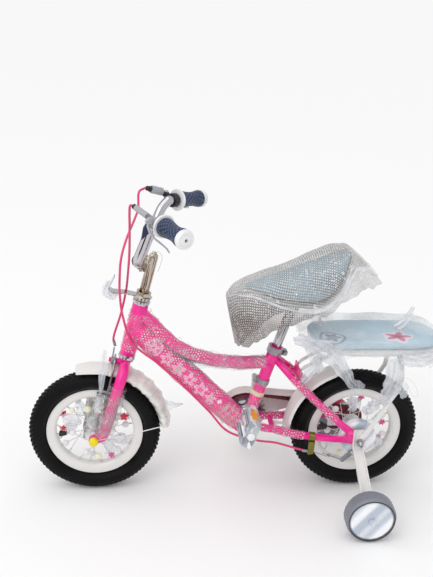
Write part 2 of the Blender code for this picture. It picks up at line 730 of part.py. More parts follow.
def carrier_frame():
    """The tube loop under the passenger's seat, its front struts and its legs to the axle."""
    z = CARRIER_Z
    corner = [(-0.058, 0.030), (-0.052, 0.043), (-0.040, 0.049), (0.090, 0.049), (0.102, 0.043),
              (0.108, 0.030)]
    loop = [at(x, y, z) for x, y in corner] + [at(x, -y, z) for x, y in reversed(corner)]
    bm = bmesh.new()
    rings = []
    for i, point in enumerate(loop):
        along = (loop[(i + 1) % len(loop)] - loop[i - 1]).normalized()
        rings.append(ellipse(point, along.cross(Z_AXIS), Z_AXIS, 0.0050, 0.0050, 8))
    loft(bm, rings, closed=True)
    whole = scrap(bm)
    parts = []
    for sign in (-1, 1):
        foot = BRIDGE_PLATE_X[1] + GAP + 0.0014
        route = [(foot, 0.0175, 0.2930), (foot, 0.0175, 0.3120), (-0.1350, 0.0185, 0.3210),
                 (-0.1150, 0.0200, 0.3330), (-0.0850, 0.0210, 0.3480), (-0.0565, 0.0220, 0.3680)]
        sizes = [(0.0014, 0.0075), (0.0014, 0.0075), (0.0035, 0.0058), (0.0048, 0.0050),
                 (0.0048, 0.0048), (0.0048, 0.0048)]
        parts.append(tube_body([at(x, sign * y, h) for x, y, h in route], sizes, 6, Y_AXIS))
        leg = [(0.0720, 0.0490, 0.3690), (0.0800, 0.0550, 0.3460), (0.0830, 0.0590, 0.3180),
               (0.0790, 0.0602, 0.2880), (0.0620, 0.0608, 0.2580), (0.0270, 0.0625, 0.1930),
               (0.0130, 0.0645, 0.1690), (0.0030, 0.0645, 0.1550)]
        sizes = [(0.0058, 0.0058)] * 6 + [(0.0072, 0.0014), (0.0072, 0.0014)]
        parts.append(tube_body([at(x, sign * y, h) for x, y, h in leg], sizes, 6, Y_AXIS))
        parts.append(scrap(rod(REAR_AXLE + Y_AXIS * sign * 0.0631, REAR_AXLE + Y_AXIS * sign * 0.0659,
                               0.0090, 12)))
    combine(whole, parts)
    combine(whole, [scrap(rod(REAR_AXLE - Y_AXIS * 0.075, REAR_AXLE + Y_AXIS * 0.075,
                              AXLE_HOLE_R, 12))], "DIFFERENCE")
    named(whole, "carrier_frame", "white_paint")


def pad_stations():
    """Half widths and lift of the passenger's seat along its length, front to rear."""
    return ((-0.1250, 0.030, 0.0130), (-0.1190, 0.048, 0.0105), (-0.1080, 0.061, 0.0065),
            (-0.0880, 0.070, 0.0020), (-0.0600, 0.0745, 0.0), (0.0200, 0.075, 0.0),
            (0.1000, 0.0745, 0.0), (0.1300, 0.070, 0.0), (0.1500, 0.059, 0.0),
            (0.1610, 0.044, 0.0), (0.1660, 0.028, 0.0))


def lengthwise(stations, section):
    """Skins sections set across the length of a seat; each is given its own station."""
    bm = bmesh.new()
    loft(bm, [[at(station[0], y, z) for y, z in section(*station[1:])] for station in stations])
    return bm


def passenger_seat():
    """The moulded tray on the carrier and the padded cushion on it."""
    low = CARRIER_Z + 0.0050 + GAP

    def tray(half, lift):
        z = low + lift
        return ((-half + 0.008, z), (half - 0.008, z), (half, z + 0.005), (half, z + 0.010),
                (half - 0.003, z + 0.0115), (-half + 0.003, z + 0.0115), (-half, z + 0.010),
                (-half, z + 0.005))

    def cushion(half, lift):
        z = low + lift + 0.0115 + GAP
        side = [(half - 0.0060, z), (half - 0.0030, z + 0.0060), (half - 0.0045, z + 0.0120),
                (half - 0.0120, z + 0.0165), (half * 0.45, z + 0.0190)]
        return side + [(0, z + 0.0200)] + [(-y, h) for y, h in reversed(side)]

    piece("passenger_pad_base", lengthwise(pad_stations(), tray), "white_plastic")
    piece("passenger_pad", lengthwise(pad_stations(), cushion), "blue_vinyl")


def film_shell(stations):
    """A thin film cover open below: hem height, top, half width and hem width at each station."""

    def section(hem, top, half, hem_half):
        drop = (top - hem)
        outer = [(hem_half, hem), (half, hem + drop * 0.45), (half * 0.90, top - drop * 0.16),
                 (half * 0.45, top)]
        inner = [(y - SHEET, z - (SHEET if i else 0)) for i, (y, z) in enumerate(outer)]
        arch = outer + [(-y, z) for y, z in reversed(outer)]
        under = inner + [(-y, z) for y, z in reversed(inner)]
        return arch + under[::-1]

    return lengthwise(stations, section)


def passenger_wrap():
    """The shipping film drawn over the passenger's seat, gathered low at the rear."""
    stations = ((-0.152, 0.392, 0.416, 0.030, 0.026), (-0.140, 0.385, 0.424, 0.056, 0.050),
                (-0.105, 0.374, 0.426, 0.080, 0.076), (-0.030, 0.369, 0.425, 0.085, 0.082),
                (0.060, 0.366, 0.425, 0.085, 0.082), (0.125, 0.353, 0.424, 0.081, 0.074),
                (0.155, 0.345, 0.420, 0.066, 0.052), (0.172, 0.352, 0.409, 0.044, 0.034),
                (0.180, 0.362, 0.399, 0.026, 0.020))
    piece("passenger_wrap", film_shell(stations), "film")


# Seat


def saddle_stations():
    """Half width, then the side-view base and top of the saddle, from its nose to its upswept back."""
    return ((0.015, (-0.272, 0.506), (-0.274, 0.521)), (0.030, (-0.243, 0.497), (-0.246, 0.529)),
            (0.045, (-0.212, 0.489), (-0.215, 0.534)), (0.058, (-0.185, 0.487), (-0.189, 0.539)),
            (0.068, (-0.157, 0.486), (-0.163, 0.547)), (0.072, (-0.131, 0.488), (-0.140, 0.556)),
            (0.072, (-0.108, 0.495), (-0.121, 0.563)), (0.067, (-0.086, 0.514), (-0.104, 0.571)),
            (0.057, (-0.067, 0.546), (-0.087, 0.580)), (0.045, (-0.055, 0.572), (-0.072, 0.589)),
            (0.030, (-0.046, 0.590), (-0.058, 0.596)))


def saddle_body(section):
    """Skins the saddle's stations; a section gives (across, up) for a half width and a height."""
    bm = bmesh.new()
    rings = []
    for half, base, top in saddle_stations():
        base, top = at(base[0], 0, base[1]), at(top[0], 0, top[1])
        up = (top - base).normalized()
        rings.append([base + Y_AXIS * y + up * h for y, h in section(half, (top - base).length)])
    loft(bm, rings)
    return bm


def saddle(carrier):
    """The saddle's moulded base and the padded cover on it."""
    floor = 0.0050

    def pan(half, height):
        return ((-half + 0.004, 0), (half - 0.004, 0), (half, 0.0020), (half, floor), (-half, floor),
                (-half, 0.0020))

    def cushion(half, height):
        rise = height - floor - GAP
        low = floor + GAP
        side = [(half - 0.0035, low), (half - 0.0010, low + rise * 0.22),
                (half - 0.0020, low + rise * 0.55), (half * 0.90, low + rise * 0.85),
                (half * 0.62, low + rise * 0.99)]
        return side + [(0, low + rise)] + [(-y, h) for y, h in reversed(side)]

    piece("saddle_base", saddle_body(pan), "white_plastic", carrier)
    piece("saddle", saddle_body(cushion), "blue_vinyl", carrier)


def saddle_wrap(carrier):
    """The shipping film over the saddle, its tail hanging to the top tube."""
    stations = ((-0.314, 0.471, 0.500, 0.010, 0.006), (-0.296, 0.440, 0.516, 0.025, 0.014),
                (-0.272, 0.392, 0.534, 0.040, 0.018), (-0.246, 0.366, 0.547, 0.052, 0.024),
                (-0.216, 0.387, 0.553, 0.064, 0.040), (-0.192, 0.398, 0.558, 0.072, 0.052),
                (-0.160, 0.427, 0.567, 0.080, 0.064), (-0.127, 0.441, 0.583, 0.084, 0.070),
                (-0.085, 0.459, 0.602, 0.082, 0.070), (-0.045, 0.500, 0.612, 0.068, 0.058),
                (-0.010, 0.516, 0.604, 0.052, 0.042), (0.012, 0.527, 0.588, 0.034, 0.026))
    piece("saddle_wrap", film_shell(stations), "film", carrier)


def seat_post(carrier):
    """The chromed post with the clamp across its top."""
    whole = scrap(tube(bmesh.new(), [seat_axis(-0.100), seat_axis(0.098), seat_axis(0.104),
                                     seat_axis(0.112)], [POST_R, POST_R, 0.0092, 0.0092], 14))
    clamp = seat_axis(0.1105)
    combine(whole, [scrap(rod(clamp - Y_AXIS * 0.017, clamp + Y_AXIS * 0.017, 0.0118, 12)),
                    scrap(rod(clamp - Y_AXIS * 0.023, clamp + Y_AXIS * 0.023, 0.0062, 6))])
    named(whole, "seat_post", "chrome", carrier)


# Rear brake


def rear_brake_cover():
    """The pressed cover of the band brake, and the pin its arm swings on."""
    section = [(0.0090, -0.0505), (0.0380, -0.0505), (0.0430, -0.0480), (0.0430, -0.0330),
               (0.0405, -0.0330), (0.0395, -0.0475), (0.0090, -0.0475)]
    whole = scrap(turned(section, REAR_AXLE, Y_AXIS, 18))
    pin = brake_pivot()
    combine(whole, [scrap(rod(pin - Y_AXIS * 0.0490, pin - Y_AXIS * 0.0582, 0.0030, 8)),
                    scrap(rod(pin - Y_AXIS * 0.0573, pin - Y_AXIS * 0.0588, 0.0050, 6)),
                    scrap(rod(pin - Y_AXIS * 0.0490, pin - Y_AXIS * 0.0530, 0.0060, 8))])
    named(whole, "rear_brake_cover", "silver_plastic")


def brake_pivot():
    return at(-0.012, 0, 0.118)


def rear_brake_arm(carrier):
    """The swinging arm with the adjusting rod that meets the inner wire."""
    pin = brake_pivot()
    outline = capsule((-0.012, 0.118), 0.0070, (-0.034, 0.0960), 0.0050, 5)
    whole = scrap(plate(outline, -0.0568, -0.0535))
    knuckle = at(-0.034, -0.0552, 0.0960)
    lead = (at(-0.106, -0.0552, 0.1250) - knuckle).normalized()
    parts = [scrap(rod(knuckle + lead * 0.002, knuckle + lead * 0.052, 0.0012, 8)),
             scrap(rod(knuckle + lead * 0.032, knuckle + lead * 0.038, 0.0036, 6))]
    combine(whole, parts)
    combine(whole, [scrap(rod(pin - Y_AXIS * 0.050, pin - Y_AXIS * 0.060, 0.0034, 12))],
            "DIFFERENCE")
    named(whole, "rear_brake_arm", "zinc", carrier)


def rear_brake_clip():
    """The clip that holds the brake cover to the chain stay and stops the outer cable."""
    along = (at(-0.060, -0.0550, 0.1535) - at(-0.160, -0.0425, 0.1620)).normalized()
    centre = at(-0.110, -0.0499, 0.1572)
    ring = [(0.0093, -0.0070), (0.0112, -0.0070), (0.0112, 0.0070), (0.0093, 0.0070)]
    whole = scrap(turned(ring, centre, along, 14))
    lug = scrap(plate([(-0.1175, 0.1500), (-0.1035, 0.1500), (-0.1060, 0.1180), (-0.1185, 0.1160)],
                      -0.0628, -0.0558))
    combine(whole, [lug])
    stay = [at(-0.1500, -0.0445, 0.1610), at(-0.0800, -0.0530, 0.1550)]
    combine(whole, [tube_body(stay, 0.0093, 14)], "DIFFERENCE")
    eye = at(-0.1125, -0.0594, 0.1235)
    lead = Vector((0.0370, 0, -0.0070)).normalized()
    combine(whole, [scrap(rod(eye - lead * 0.02, eye + lead * 0.02, 0.0018, 8))], "DIFFERENCE")
    named(whole, "rear_brake_clip", "gold_steel")


# Chain drive


def drive_frame():
    """The directions of the chain's plane: from ring to sprocket, and square to that."""
    along = (REAR_AXLE - BRACKET).normalized()
    return along, Vector((-along.z, 0, along.x))


def rollers():
    """Places of all the chain's rollers, round the loop."""
    along, up = drive_frame()
    centres = (REAR_AXLE - BRACKET).length
    half = half_chain(centres)
    loop = half + [(u, -v) for u, v in reversed(half[1:-1])]
    return [BRACKET + along * u + up * v + Y_AXIS * CHAIN_Y for u, v in loop]


def chain():
    """Sixty six-sided rollers between two scalloped rows of side plates, as one skin."""
    places = rollers()
    count = len(places)
    bm = bmesh.new()

    def points(place, out, spots):
        along = out.cross(Y_AXIS)
        return [bm.verts.new(place + out * n + along * t + Y_AXIS * y) for n, t, y in spots]

    pins, waists = [], []
    for i, place in enumerate(places):
        after, before = places[(i + 1) % count], places[i - 1]
        out = (after - before).normalized().cross(Y_AXIS)
        middle = (after - place).normalized().cross(Y_AXIS)
        pair, waist_pair = [], []
        for side in (-1, 1):
            inner, outer = side * CHAIN_INNER, side * (CHAIN_INNER + CHAIN_PLATE)
            top = CHAIN_PIN_HALF
            pair.append(points(place, out, (
                (-top, 0, outer), (top, 0, outer), (top, 0, inner), (-top, 0, inner),
                (ROLLER_R / 2, ROLLER_ALONG, inner), (-ROLLER_R / 2, ROLLER_ALONG, inner),
                (-ROLLER_R / 2, -ROLLER_ALONG, inner), (ROLLER_R / 2, -ROLLER_ALONG, inner))))
            waist_pair.append(points((place + after) / 2, middle, (
                (-CHAIN_WAIST_HALF, 0, outer), (CHAIN_WAIST_HALF, 0, outer),
                (CHAIN_WAIST_HALF, 0, inner), (-CHAIN_WAIST_HALF, 0, inner))))
        pins.append(pair)
        waists.append(waist_pair)
    for i in range(count):
        for side in (0, 1):
            pin, waist, after = pins[i][side], waists[i][side], pins[(i + 1) % count][side]
            for j, k in ((0, 1), (1, 2), (3, 0)):
                bm.faces.new((pin[j], pin[k], waist[k], waist[j]))
                bm.faces.new((waist[j], waist[k], after[k], after[j]))
            bm.faces.new((pin[3], pin[6], pin[7], pin[2], waist[2], waist[3]))
            bm.faces.new((waist[3], waist[2], after[2], after[4], after[5], after[3]))
        near, far = pins[i]
        around = (2, 4, 5, 3, 6, 7)
        for j, k in zip(around, around[1:] + around[:1]):
            bm.faces.new((near[j], near[k], far[k], far[j]))
    piece("chain", bm, "chain_steel")


def toothed_outline(centre, teeth, radius, first):
    """A sprocket's outline: a seat for each roller and a pointed tooth between each two."""
    outline = []
    for i in range(teeth):
        angle = first + 2 * math.pi * i / teeth
        for across, out in ((-TIP_ACROSS, TIP_RISE), (-SEAT_ACROSS, -SEAT_DEPTH),
                            (SEAT_ACROSS, -SEAT_DEPTH), (TIP_ACROSS, TIP_RISE)):
            x = (radius + out) * math.cos(angle) - across * math.sin(angle)
            z = (radius + out) * math.sin(angle) + across * math.cos(angle)
            outline.append((centre.x - REAR_X + x, centre.z + z))
    return outline


def toothed_plate(centre, teeth, radius, first):
    return scrap(plate(toothed_outline(centre, teeth, radius, first),
                       CHAIN_Y - TOOTH_THICK / 2, CHAIN_Y + TOOTH_THICK / 2))


def chainring(carrier):
    """The 24 tooth ring with five windows and the boss that sits on the spindle."""
    along, _ = drive_frame()
    tilt = math.atan2(along.z, along.x)
    whole = toothed_plate(BRACKET, RING_TEETH, RING_R, tilt + math.pi)
    boss = scrap(rod(BRACKET + Y_AXIS * 0.0365, BRACKET + Y_AXIS * 0.0494, 0.0145, 16))
    combine(whole, [boss])
    cuts = [scrap(rod(BRACKET + Y_AXIS * 0.030, BRACKET + Y_AXIS * 0.055, SPINDLE_R + GAP, 14))]
    for i in range(5):
        angle = tilt + 2 * math.pi * (i + 0.5) / 5
        window = BRACKET + Vector((math.cos(angle), 0, math.sin(angle))) * 0.0290
        cuts.append(scrap(rod(window + Y_AXIS * 0.038, window + Y_AXIS * 0.050, 0.0095, 8)))
    combine(whole, cuts, "DIFFERENCE")
    named(whole, "chainring", "zinc", carrier)


def freewheel(carrier):
    """The 14 tooth freewheel that screws on the hub's boss."""
    along, _ = drive_frame()
    whole = toothed_plate(REAR_AXLE, SPROCKET_TEETH, SPROCKET_R, math.atan2(along.z, along.x))
    body = scrap(solid([(0.0190, 0.0360), (0.0190, 0.0490)], REAR_AXLE, Y_AXIS, 18))
    combine(whole, [body])
    combine(whole, [scrap(rod(REAR_AXLE + Y_AXIS * 0.030, REAR_AXLE + Y_AXIS * 0.055,
                              FREEWHEEL_BOSS_R + GAP, 16))], "DIFFERENCE")
    named(whole, "freewheel", "chain_steel", carrier)


def crank_end(sign):
    """The pedal's axis in side view; the left crank stands up and leans forward."""
    reach = Vector((-math.sin(CRANK_LEAN), 0, math.cos(CRANK_LEAN))) * CRANK_LENGTH
    return BRACKET - reach * sign


def crank(name, sign, carrier):
    """A crank arm with its boss and the pedal's pin; the left one carries the spindle."""
    end = crank_end(sign)
    low, high = sorted((sign * 0.0720, sign * 0.0820))
    outline = capsule((BRACKET.x - REAR_X, BRACKET.z), 0.0125, (end.x - REAR_X, end.z), 0.0090, 6)
    whole = scrap(plate(outline, low, high))
    parts = [scrap(rod(end + Y_AXIS * sign * 0.074, end + Y_AXIS * sign * 0.1825, PEDAL_PIN_R, 10)),
             scrap(rod(end + Y_AXIS * sign * 0.0815, end + Y_AXIS * sign * 0.0880, 0.0078, 6))]
    if sign < 0:
        parts.append(scrap(rod(BRACKET - Y_AXIS * 0.0760, BRACKET + Y_AXIS * 0.0718, SPINDLE_R, 14)))
        parts.append(scrap(rod(BRACKET - Y_AXIS * 0.0605, BRACKET - Y_AXIS * 0.0840, 0.0140, 14)))
        parts.append(scrap(rod(BRACKET - Y_AXIS * 0.0345, BRACKET - Y_AXIS * 0.0400, 0.0165, 14)))
    else:
        parts.append(scrap(rod(BRACKET + Y_AXIS * 0.0500, BRACKET + Y_AXIS * 0.0840, 0.0140, 14)))
    combine(whole, parts)
    if sign > 0:
        bore = scrap(rod(BRACKET + Y_AXIS * 0.040, BRACKET + Y_AXIS * 0.0722, SPINDLE_R + GAP, 14))
        combine(whole, [bore], "DIFFERENCE")
    named(whole, name, "chrome", carrier)


def pedal(name, sign, carrier):
    """A moulded pedal: a barrel on the pin, two tread rails, windows between, and its end cap."""
    centre = world_place(carrier)
    wide = Vector((math.sin(PEDAL_LEAN), 0, math.cos(PEDAL_LEAN)))
    thick = Vector((math.cos(PEDAL_LEAN), 0, -math.sin(PEDAL_LEAN)))
    bm = bmesh.new()
    rings = []
    for y, w, t in ((0.105, 0.027, 0.0100), (0.108, 0.030, 0.0125), (0.187, 0.030, 0.0125),
                    (0.190, 0.027, 0.0100)):
        c = 0.004
        corners = ((w - c, t), (w, t - c), (w, c - t), (w - c, -t), (c - w, -t), (-w, c - t),
                   (-w, t - c), (c - w, t))
        rings.append([centre + Y_AXIS * sign * y + wide * a + thick * b for a, b in corners])
    loft(bm, rings)
    whole = scrap(bm)
    combine(whole, [scrap(rod(centre + Y_AXIS * sign * 0.186, centre + Y_AXIS * sign * 0.1925,
                              0.0100, 14))])
    cuts = [scrap(rod(centre + Y_AXIS * sign * 0.100, centre + Y_AXIS * sign * 0.1835,
                      PEDAL_PIN_R + GAP, 10))]
    for side in (-1, 1):
        window = bmesh.new()
        loft(window, [[centre + Y_AXIS * sign * y + wide * side * w + thick * t for w, t in
                       ((0.0105, -0.02), (0.0225, -0.02), (0.0225, 0.02), (0.0105, 0.02))]
                      for y in (0.117, 0.178)])
        cuts.append(scrap(window))
    combine(whole, cuts, "DIFFERENCE")
    named(whole, name, "white_plastic", carrier)


# Wheels


def tyre(name, centre, carrier):
    """A full tyre: beads inside the rim, round side walls, a flat tread."""
    half = TYRE_HALF_WIDTH
    right = [(0.0985, 0.0098), (0.1118, 0.0114), (0.1290, half), (0.1430, 0.0225),
             (WHEEL_R, 0.0090)]
    section = right + [(r, -y) for r, y in reversed(right)]
    piece(name, turned(section, centre, Y_AXIS, TYRE_SEGMENTS), "tyre_rubber", carrier)


def rim(name, centre, carrier):
    """A rolled steel rim: a channel with its edges up."""
    right = [(RIM_INNER_R, 0.0085), (0.0960, 0.0140), (RIM_OUTER_R, RIM_HALF_WIDTH),
             (RIM_OUTER_R, 0.0117), (0.0935, 0.0100)]
    section = right + [(r, -y) for r, y in reversed(right)]
    piece(name, turned(section, centre, Y_AXIS, RIM_SEGMENTS), "white_paint", carrier)


def hub(name, centre, section, flange, carrier):
    """A hub shell with its spokes, each crossing its neighbour on the way to the rim."""
    whole = scrap(turned(section, centre, Y_AXIS, 12))
    spokes = bmesh.new()
    for side in (-1, 1):
        for i in range(SPOKES_PER_SIDE):
            rim_angle = 2 * math.pi * (i + (0.25 if side > 0 else -0.25)) / SPOKES_PER_SIDE
            lead = SPOKE_LEAD * (1 if i % 2 else -1)
            inset = SPOKE_STAGGER * (1 if i % 2 else -1)
            ends = []
            for angle, r, y in ((rim_angle + lead, SPOKE_HUB_R, side * (flange + inset)),
                                (rim_angle, RIM_INNER_R - 0.0013, side * 0.0030)):
                ends.append(centre + Vector((math.cos(angle) * r, y, math.sin(angle) * r)))
            tube(spokes, ends, SPOKE_R, 3)
    combine(whole, [scrap(spokes)])
    named(whole, name, "zinc", carrier)


def front_hub(carrier):
    half = [(AXLE_HOLE_R, 0.0430), (0.0085, 0.0430), (0.0110, 0.0300), (0.0215, 0.0292),
            (0.0215, 0.0268), (0.0120, 0.0250)]
    section = half + [(r, -y) for r, y in reversed(half)]
    hub("front_hub", FRONT_AXLE, section, 0.0280, carrier)


def rear_hub(carrier):
    """The rear hub: brake drum on the left, freewheel boss on the right."""
    left = [(AXLE_HOLE_R, -0.0530), (0.0085, -0.0530), (0.0085, -0.0460), (BRAKE_DRUM_R, -0.0455),
            (BRAKE_DRUM_R, -0.0300), (0.0215, -0.0252), (0.0215, -0.0228), (0.0130, -0.0212)]
    right = [(0.0130, 0.0212), (0.0215, 0.0228), (0.0215, 0.0252), (FREEWHEEL_BOSS_R, 0.0260),
             (FREEWHEEL_BOSS_R, 0.0505), (0.0085, 0.0530), (AXLE_HOLE_R, 0.0530)]
    hub("rear_hub", REAR_AXLE, left + right, 0.0240, carrier)


# Fork and front end


def fork(carrier):
    """A fork bent from one tube, with flattened ends, the steerer and the brake's centre bolt."""
    leg = [(-0.2035, 0.0070, 0.0460, 0.0021, 0.0098), (-0.1930, 0.0070, 0.0460, 0.0022, 0.0104),
           (-0.1780, 0.0070, 0.0446, 0.0110, 0.0125), (-0.0950, 0.0050, 0.0442, 0.0125, 0.0125),
           (-0.0590, 0.0030, 0.0440, 0.0125, 0.0125), (-0.0385, 0.0014, 0.0385, 0.0125, 0.0125),
           (-0.0270, 0.0003, 0.0230, 0.0125, 0.0125)]
    half = [(steer(t, f, -y), (a, b)) for t, f, y, a, b in leg]
    other = [(steer(t, f, y), (a, b)) for t, f, y, a, b in reversed(leg)]
    line = half + [(steer(-FORK_ARCH, 0, 0), (0.0125, 0.0125))] + other
    whole = tube_body([p for p, _ in line], [s for _, s in line], 12, STEER_FORE)
    crown = steer(-FORK_ARCH)
    parts = [scrap(rod(steer(-0.0210), steer(STEERER_TOP), STEERER_R, 14)),
             scrap(rod(steer(-0.0150), steer(-0.0093), 0.0170, 14)),
             scrap(solid([(0.0070, 0.0050), (0.0070, 0.0200), (0.0030, 0.0201), (0.0030, 0.0330),
                          (0.0055, 0.0331), (0.0055, 0.0375)], crown, STEER_FORE, 8))]
    for sign in (-1, 1):
        outline = capsule((-WHEELBASE, WHEEL_R), 0.0120, (-0.5935, 0.1590), 0.0105, 5)
        parts.append(scrap(plate(outline, *sorted((sign * 0.0434, sign * 0.0486)))))
    combine(whole, parts)
    combine(whole, [scrap(rod(FRONT_AXLE - Y_AXIS * 0.06, FRONT_AXLE + Y_AXIS * 0.06,
                              AXLE_HOLE_R, 12)),
                    scrap(rod(steer(STEERER_TOP - 0.070), steer(STEERER_TOP + 0.002),
                              QUILL_R + GAP, 14))], "DIFFERENCE")
    named(whole, "fork", "pink_paint", carrier)


def headset_nut(carrier):
    """The adjusting race and the lock nut, with the neck the basket bracket sits on."""
    whole = scrap(solid([(0.0185, 0.1370), (0.0185, 0.1420), (0.0152, 0.1422), (0.0152, 0.1460)],
                        STEER_BASE, STEER_UP, 16))
    combine(whole, [scrap(rod(steer(0.1452), steer(0.1530), 0.0178, 6))])
    combine(whole, [scrap(rod(steer(0.130), steer(0.160), STEERER_R + GAP, 16))], "DIFFERENCE")
    named(whole, "headset_nut", "chrome", carrier)


def basket_bracket(carrier):
    """The folded strip under the lock nut that would carry a basket."""
    whole = scrap(turned([(0.0156, 0.1424), (0.0205, 0.1424), (0.0205, 0.1448), (0.0156, 0.1448)],
                         STEER_BASE, STEER_UP, 16))
    start = steer(0.1436, 0.0175)
    route = [start, at(-0.5400, 0, 0.4975), at(-0.5690, 0, 0.5000), at(-0.5775, 0, 0.5085),
             at(-0.5640, 0, 0.5350)]
    strip = bmesh.new()
    rings = []
    for i, point in enumerate(route):
        along = (route[min(i + 1, 4)] - route[max(i - 1, 0)]).normalized()
        out = along.cross(Y_AXIS)
        half = 0.0115 if i < 4 else 0.0090
        rings.append([point + Y_AXIS * y + out * n for y, n in
                      ((-half, -0.0012), (half, -0.0012), (half, 0.0012), (-half, 0.0012))])
    loft(strip, rings)
    combine(whole, [scrap(strip)])
    named(whole, "basket_bracket", "chrome", carrier)


def stem(carrier):
    """The quill, its short forward reach and the split ring round the bar."""
    clamp = at(*BAR_CENTRE)
    whole = scrap(tube(bmesh.new(), [steer(0.0880), steer(0.2370), steer(0.2430), steer(0.2455)],
                       [QUILL_R, QUILL_R, 0.0098, 0.0060], 14))
    heel = steer(0.2250)
    reach = [heel, heel.lerp(clamp, 0.45), clamp]
    parts = [tube_body(reach, [(0.0108, 0.0108), (0.0115, 0.0112), (0.0130, 0.0130)], 10, Y_AXIS),
             scrap(rod(clamp - Y_AXIS * 0.0150, clamp + Y_AXIS * 0.0150, 0.0165, 14)),
             scrap(rod(steer(0.2440), steer(0.2490), 0.0055, 6))]
    pinch = clamp + Vector((0.006, 0, -0.0185))
    ears = bmesh.new()
    loft(ears, [[pinch + Vector((x, y, z)) for x, z in ((-0.0075, 0.006), (0.0075, 0.006),
                                                       (0.0065, -0.006), (-0.0065, -0.006))]
                for y in (-0.0110, 0.0110)])
    parts.append(scrap(ears))
    combine(whole, parts)
    slit = bmesh.new()
    loft(slit, [[pinch + Vector((x, y, z)) for x, z in ((-0.0009, 0.012), (0.0009, 0.012),
                                                       (0.0009, -0.010), (-0.0009, -0.010))]
                for y in (-0.0200, 0.0200)])
    combine(whole, [scrap(rod(clamp - Y_AXIS * 0.02, clamp + Y_AXIS * 0.02, BAR_R + BORE_GAP, 14)),
                    scrap(slit)], "DIFFERENCE")
    combine(whole, [scrap(rod(pinch + Vector((-0.011, 0, 0)), pinch + Vector((0.011, 0, 0)),
                              0.0028, 6)),
                    scrap(rod(pinch + Vector((-0.0115, 0, 0)), pinch + Vector((-0.0072, 0, 0)),
                              0.0050, 6))])
    turn = Matrix.Rotation(BAR_TURN, 4, STEER_UP)
    whole.data.transform(Matrix.Translation(STEER_BASE) @ turn @ Matrix.Translation(-STEER_BASE))
    named(whole, "stem", "chrome", carrier)


def bar_place(x, y, z):
    """A place on the handlebar, turned with it about the steering axis."""
    turn = Matrix.Rotation(BAR_TURN, 3, STEER_UP)
    return STEER_BASE + turn @ (at(x, y, z) - STEER_BASE)


def handlebar(carrier):
    """A high U bar with swept back ends."""
    half = [(-0.5090, 0.024, 0.5720), (-0.5070, 0.042, 0.5820), (-0.5000, 0.054, 0.6020),
            (-0.4900, 0.064, 0.6280), (-0.4800, 0.075, 0.6550), (-0.4735, 0.0825, 0.6690),
            (-0.4640, 0.0918, 0.6795)]
    grip_end = Vector(GRIP_END)
    last = (grip_end.x, grip_end.y, grip_end.z)
    side = half + [(-0.4558, 0.1017, 0.6815), last]
    points = [bar_place(x, -y, z) for x, y, z in reversed(side)]
    points += [bar_place(*BAR_CENTRE)] + [bar_place(x, y, z) for x, y, z in side]
    whole = tube_body(points, BAR_R, 10)
    named(whole, "handlebar", "chrome", carrier)


def grip_frame(sign):
    """The grip's start, and its directions outward, forward and up, turned with the bar."""
    start = bar_place(GRIP_START[0], sign * GRIP_START[1], GRIP_START[2])
    end = bar_place(GRIP_END[0], sign * GRIP_END[1], GRIP_END[2])
    out = (end - start).normalized()
    turn = Matrix.Rotation(BAR_TURN, 3, STEER_UP)
    fore = turn @ Vector((-0.60, sign * 0.39, -0.70))
    fore = (fore - out * fore.dot(out)).normalized()
    lift = out.cross(fore) * sign
    return start, out, fore, lift


def grips(side, sign, carrier):
    """The white flanged sleeve with its round end, and the rubber grip on it."""
    start, out, _, _ = grip_frame(sign)
    length = GRIP_LENGTH
    bore = BAR_R + BORE_GAP
    sleeve = [(bore, length - 0.0015), (bore, -0.0025), (0.0250, -0.0020),
              (0.0240, 0.0025), (0.0128, 0.0025), (0.0128, length), (0.0195, length),
              (0.0205, length + 0.0060), (0.0180, length + 0.0115), (0.0036, length + 0.0130),
              (0.0036, length + 0.0060)]
    rubber = [(0.0131, 0.0029), (0.0194, 0.0029), (0.0192, 0.0100), (0.0166, 0.0300),
              (0.0166, 0.0480), (0.0192, length - 0.007), (0.0188, length - GAP),
              (0.0131, length - GAP)]
    piece("grip_core_" + side, solid(sleeve, start, out, 14), "white_plastic", carrier)
    piece("grip_" + side, turned(rubber, start, out, 14), "navy_rubber", carrier)


def lever_bracket(side, sign, carrier):
    """The clamp on the bar, the cable barrel ahead of it and the boss of the lever's pin."""
    start, out, fore, lift = grip_frame(sign)

    def local(g, d, a):
        return start + out * g + fore * d + lift * a

    whole = scrap(rod(local(-0.019, 0, 0), local(-0.007, 0, 0), 0.0160, 12))
    barrel = bar_place(-0.4775, sign * 0.1115, 0.6975)
    mouth = bar_place(-0.5040, sign * 0.0900, 0.7080)
    tip = bar_place(-0.5095, sign * 0.0857, 0.7100)
    parts = [scrap(rod(local(-0.012, 0.012, 0.008), local(-0.012, 0.012, 0.0236), 0.0075, 10)),
             scrap(rod(local(-0.012, 0.012, 0.010), local(-0.012, 0.012, 0.0318), 0.0030, 8)),
             scrap(rod(local(-0.012, 0.012, 0.0304), local(-0.012, 0.012, 0.0322), 0.0056, 8)),
             scrap(rod(barrel, mouth, 0.0066, 10)), scrap(rod(barrel.lerp(mouth, 0.8), tip, 0.0044, 8)),
             tube_body([local(-0.0135, 0.002, 0.010), barrel.lerp(mouth, 0.25)],
                       [(0.0052, 0.0065), (0.0045, 0.0055)], 8)]
    combine(whole, parts)
    combine(whole, [scrap(rod(local(-0.030, 0, 0), local(0, 0, 0), BAR_R + BORE_GAP, 14))],
            "DIFFERENCE")
    named(whole, "lever_bracket_" + side, "black_plastic", carrier)


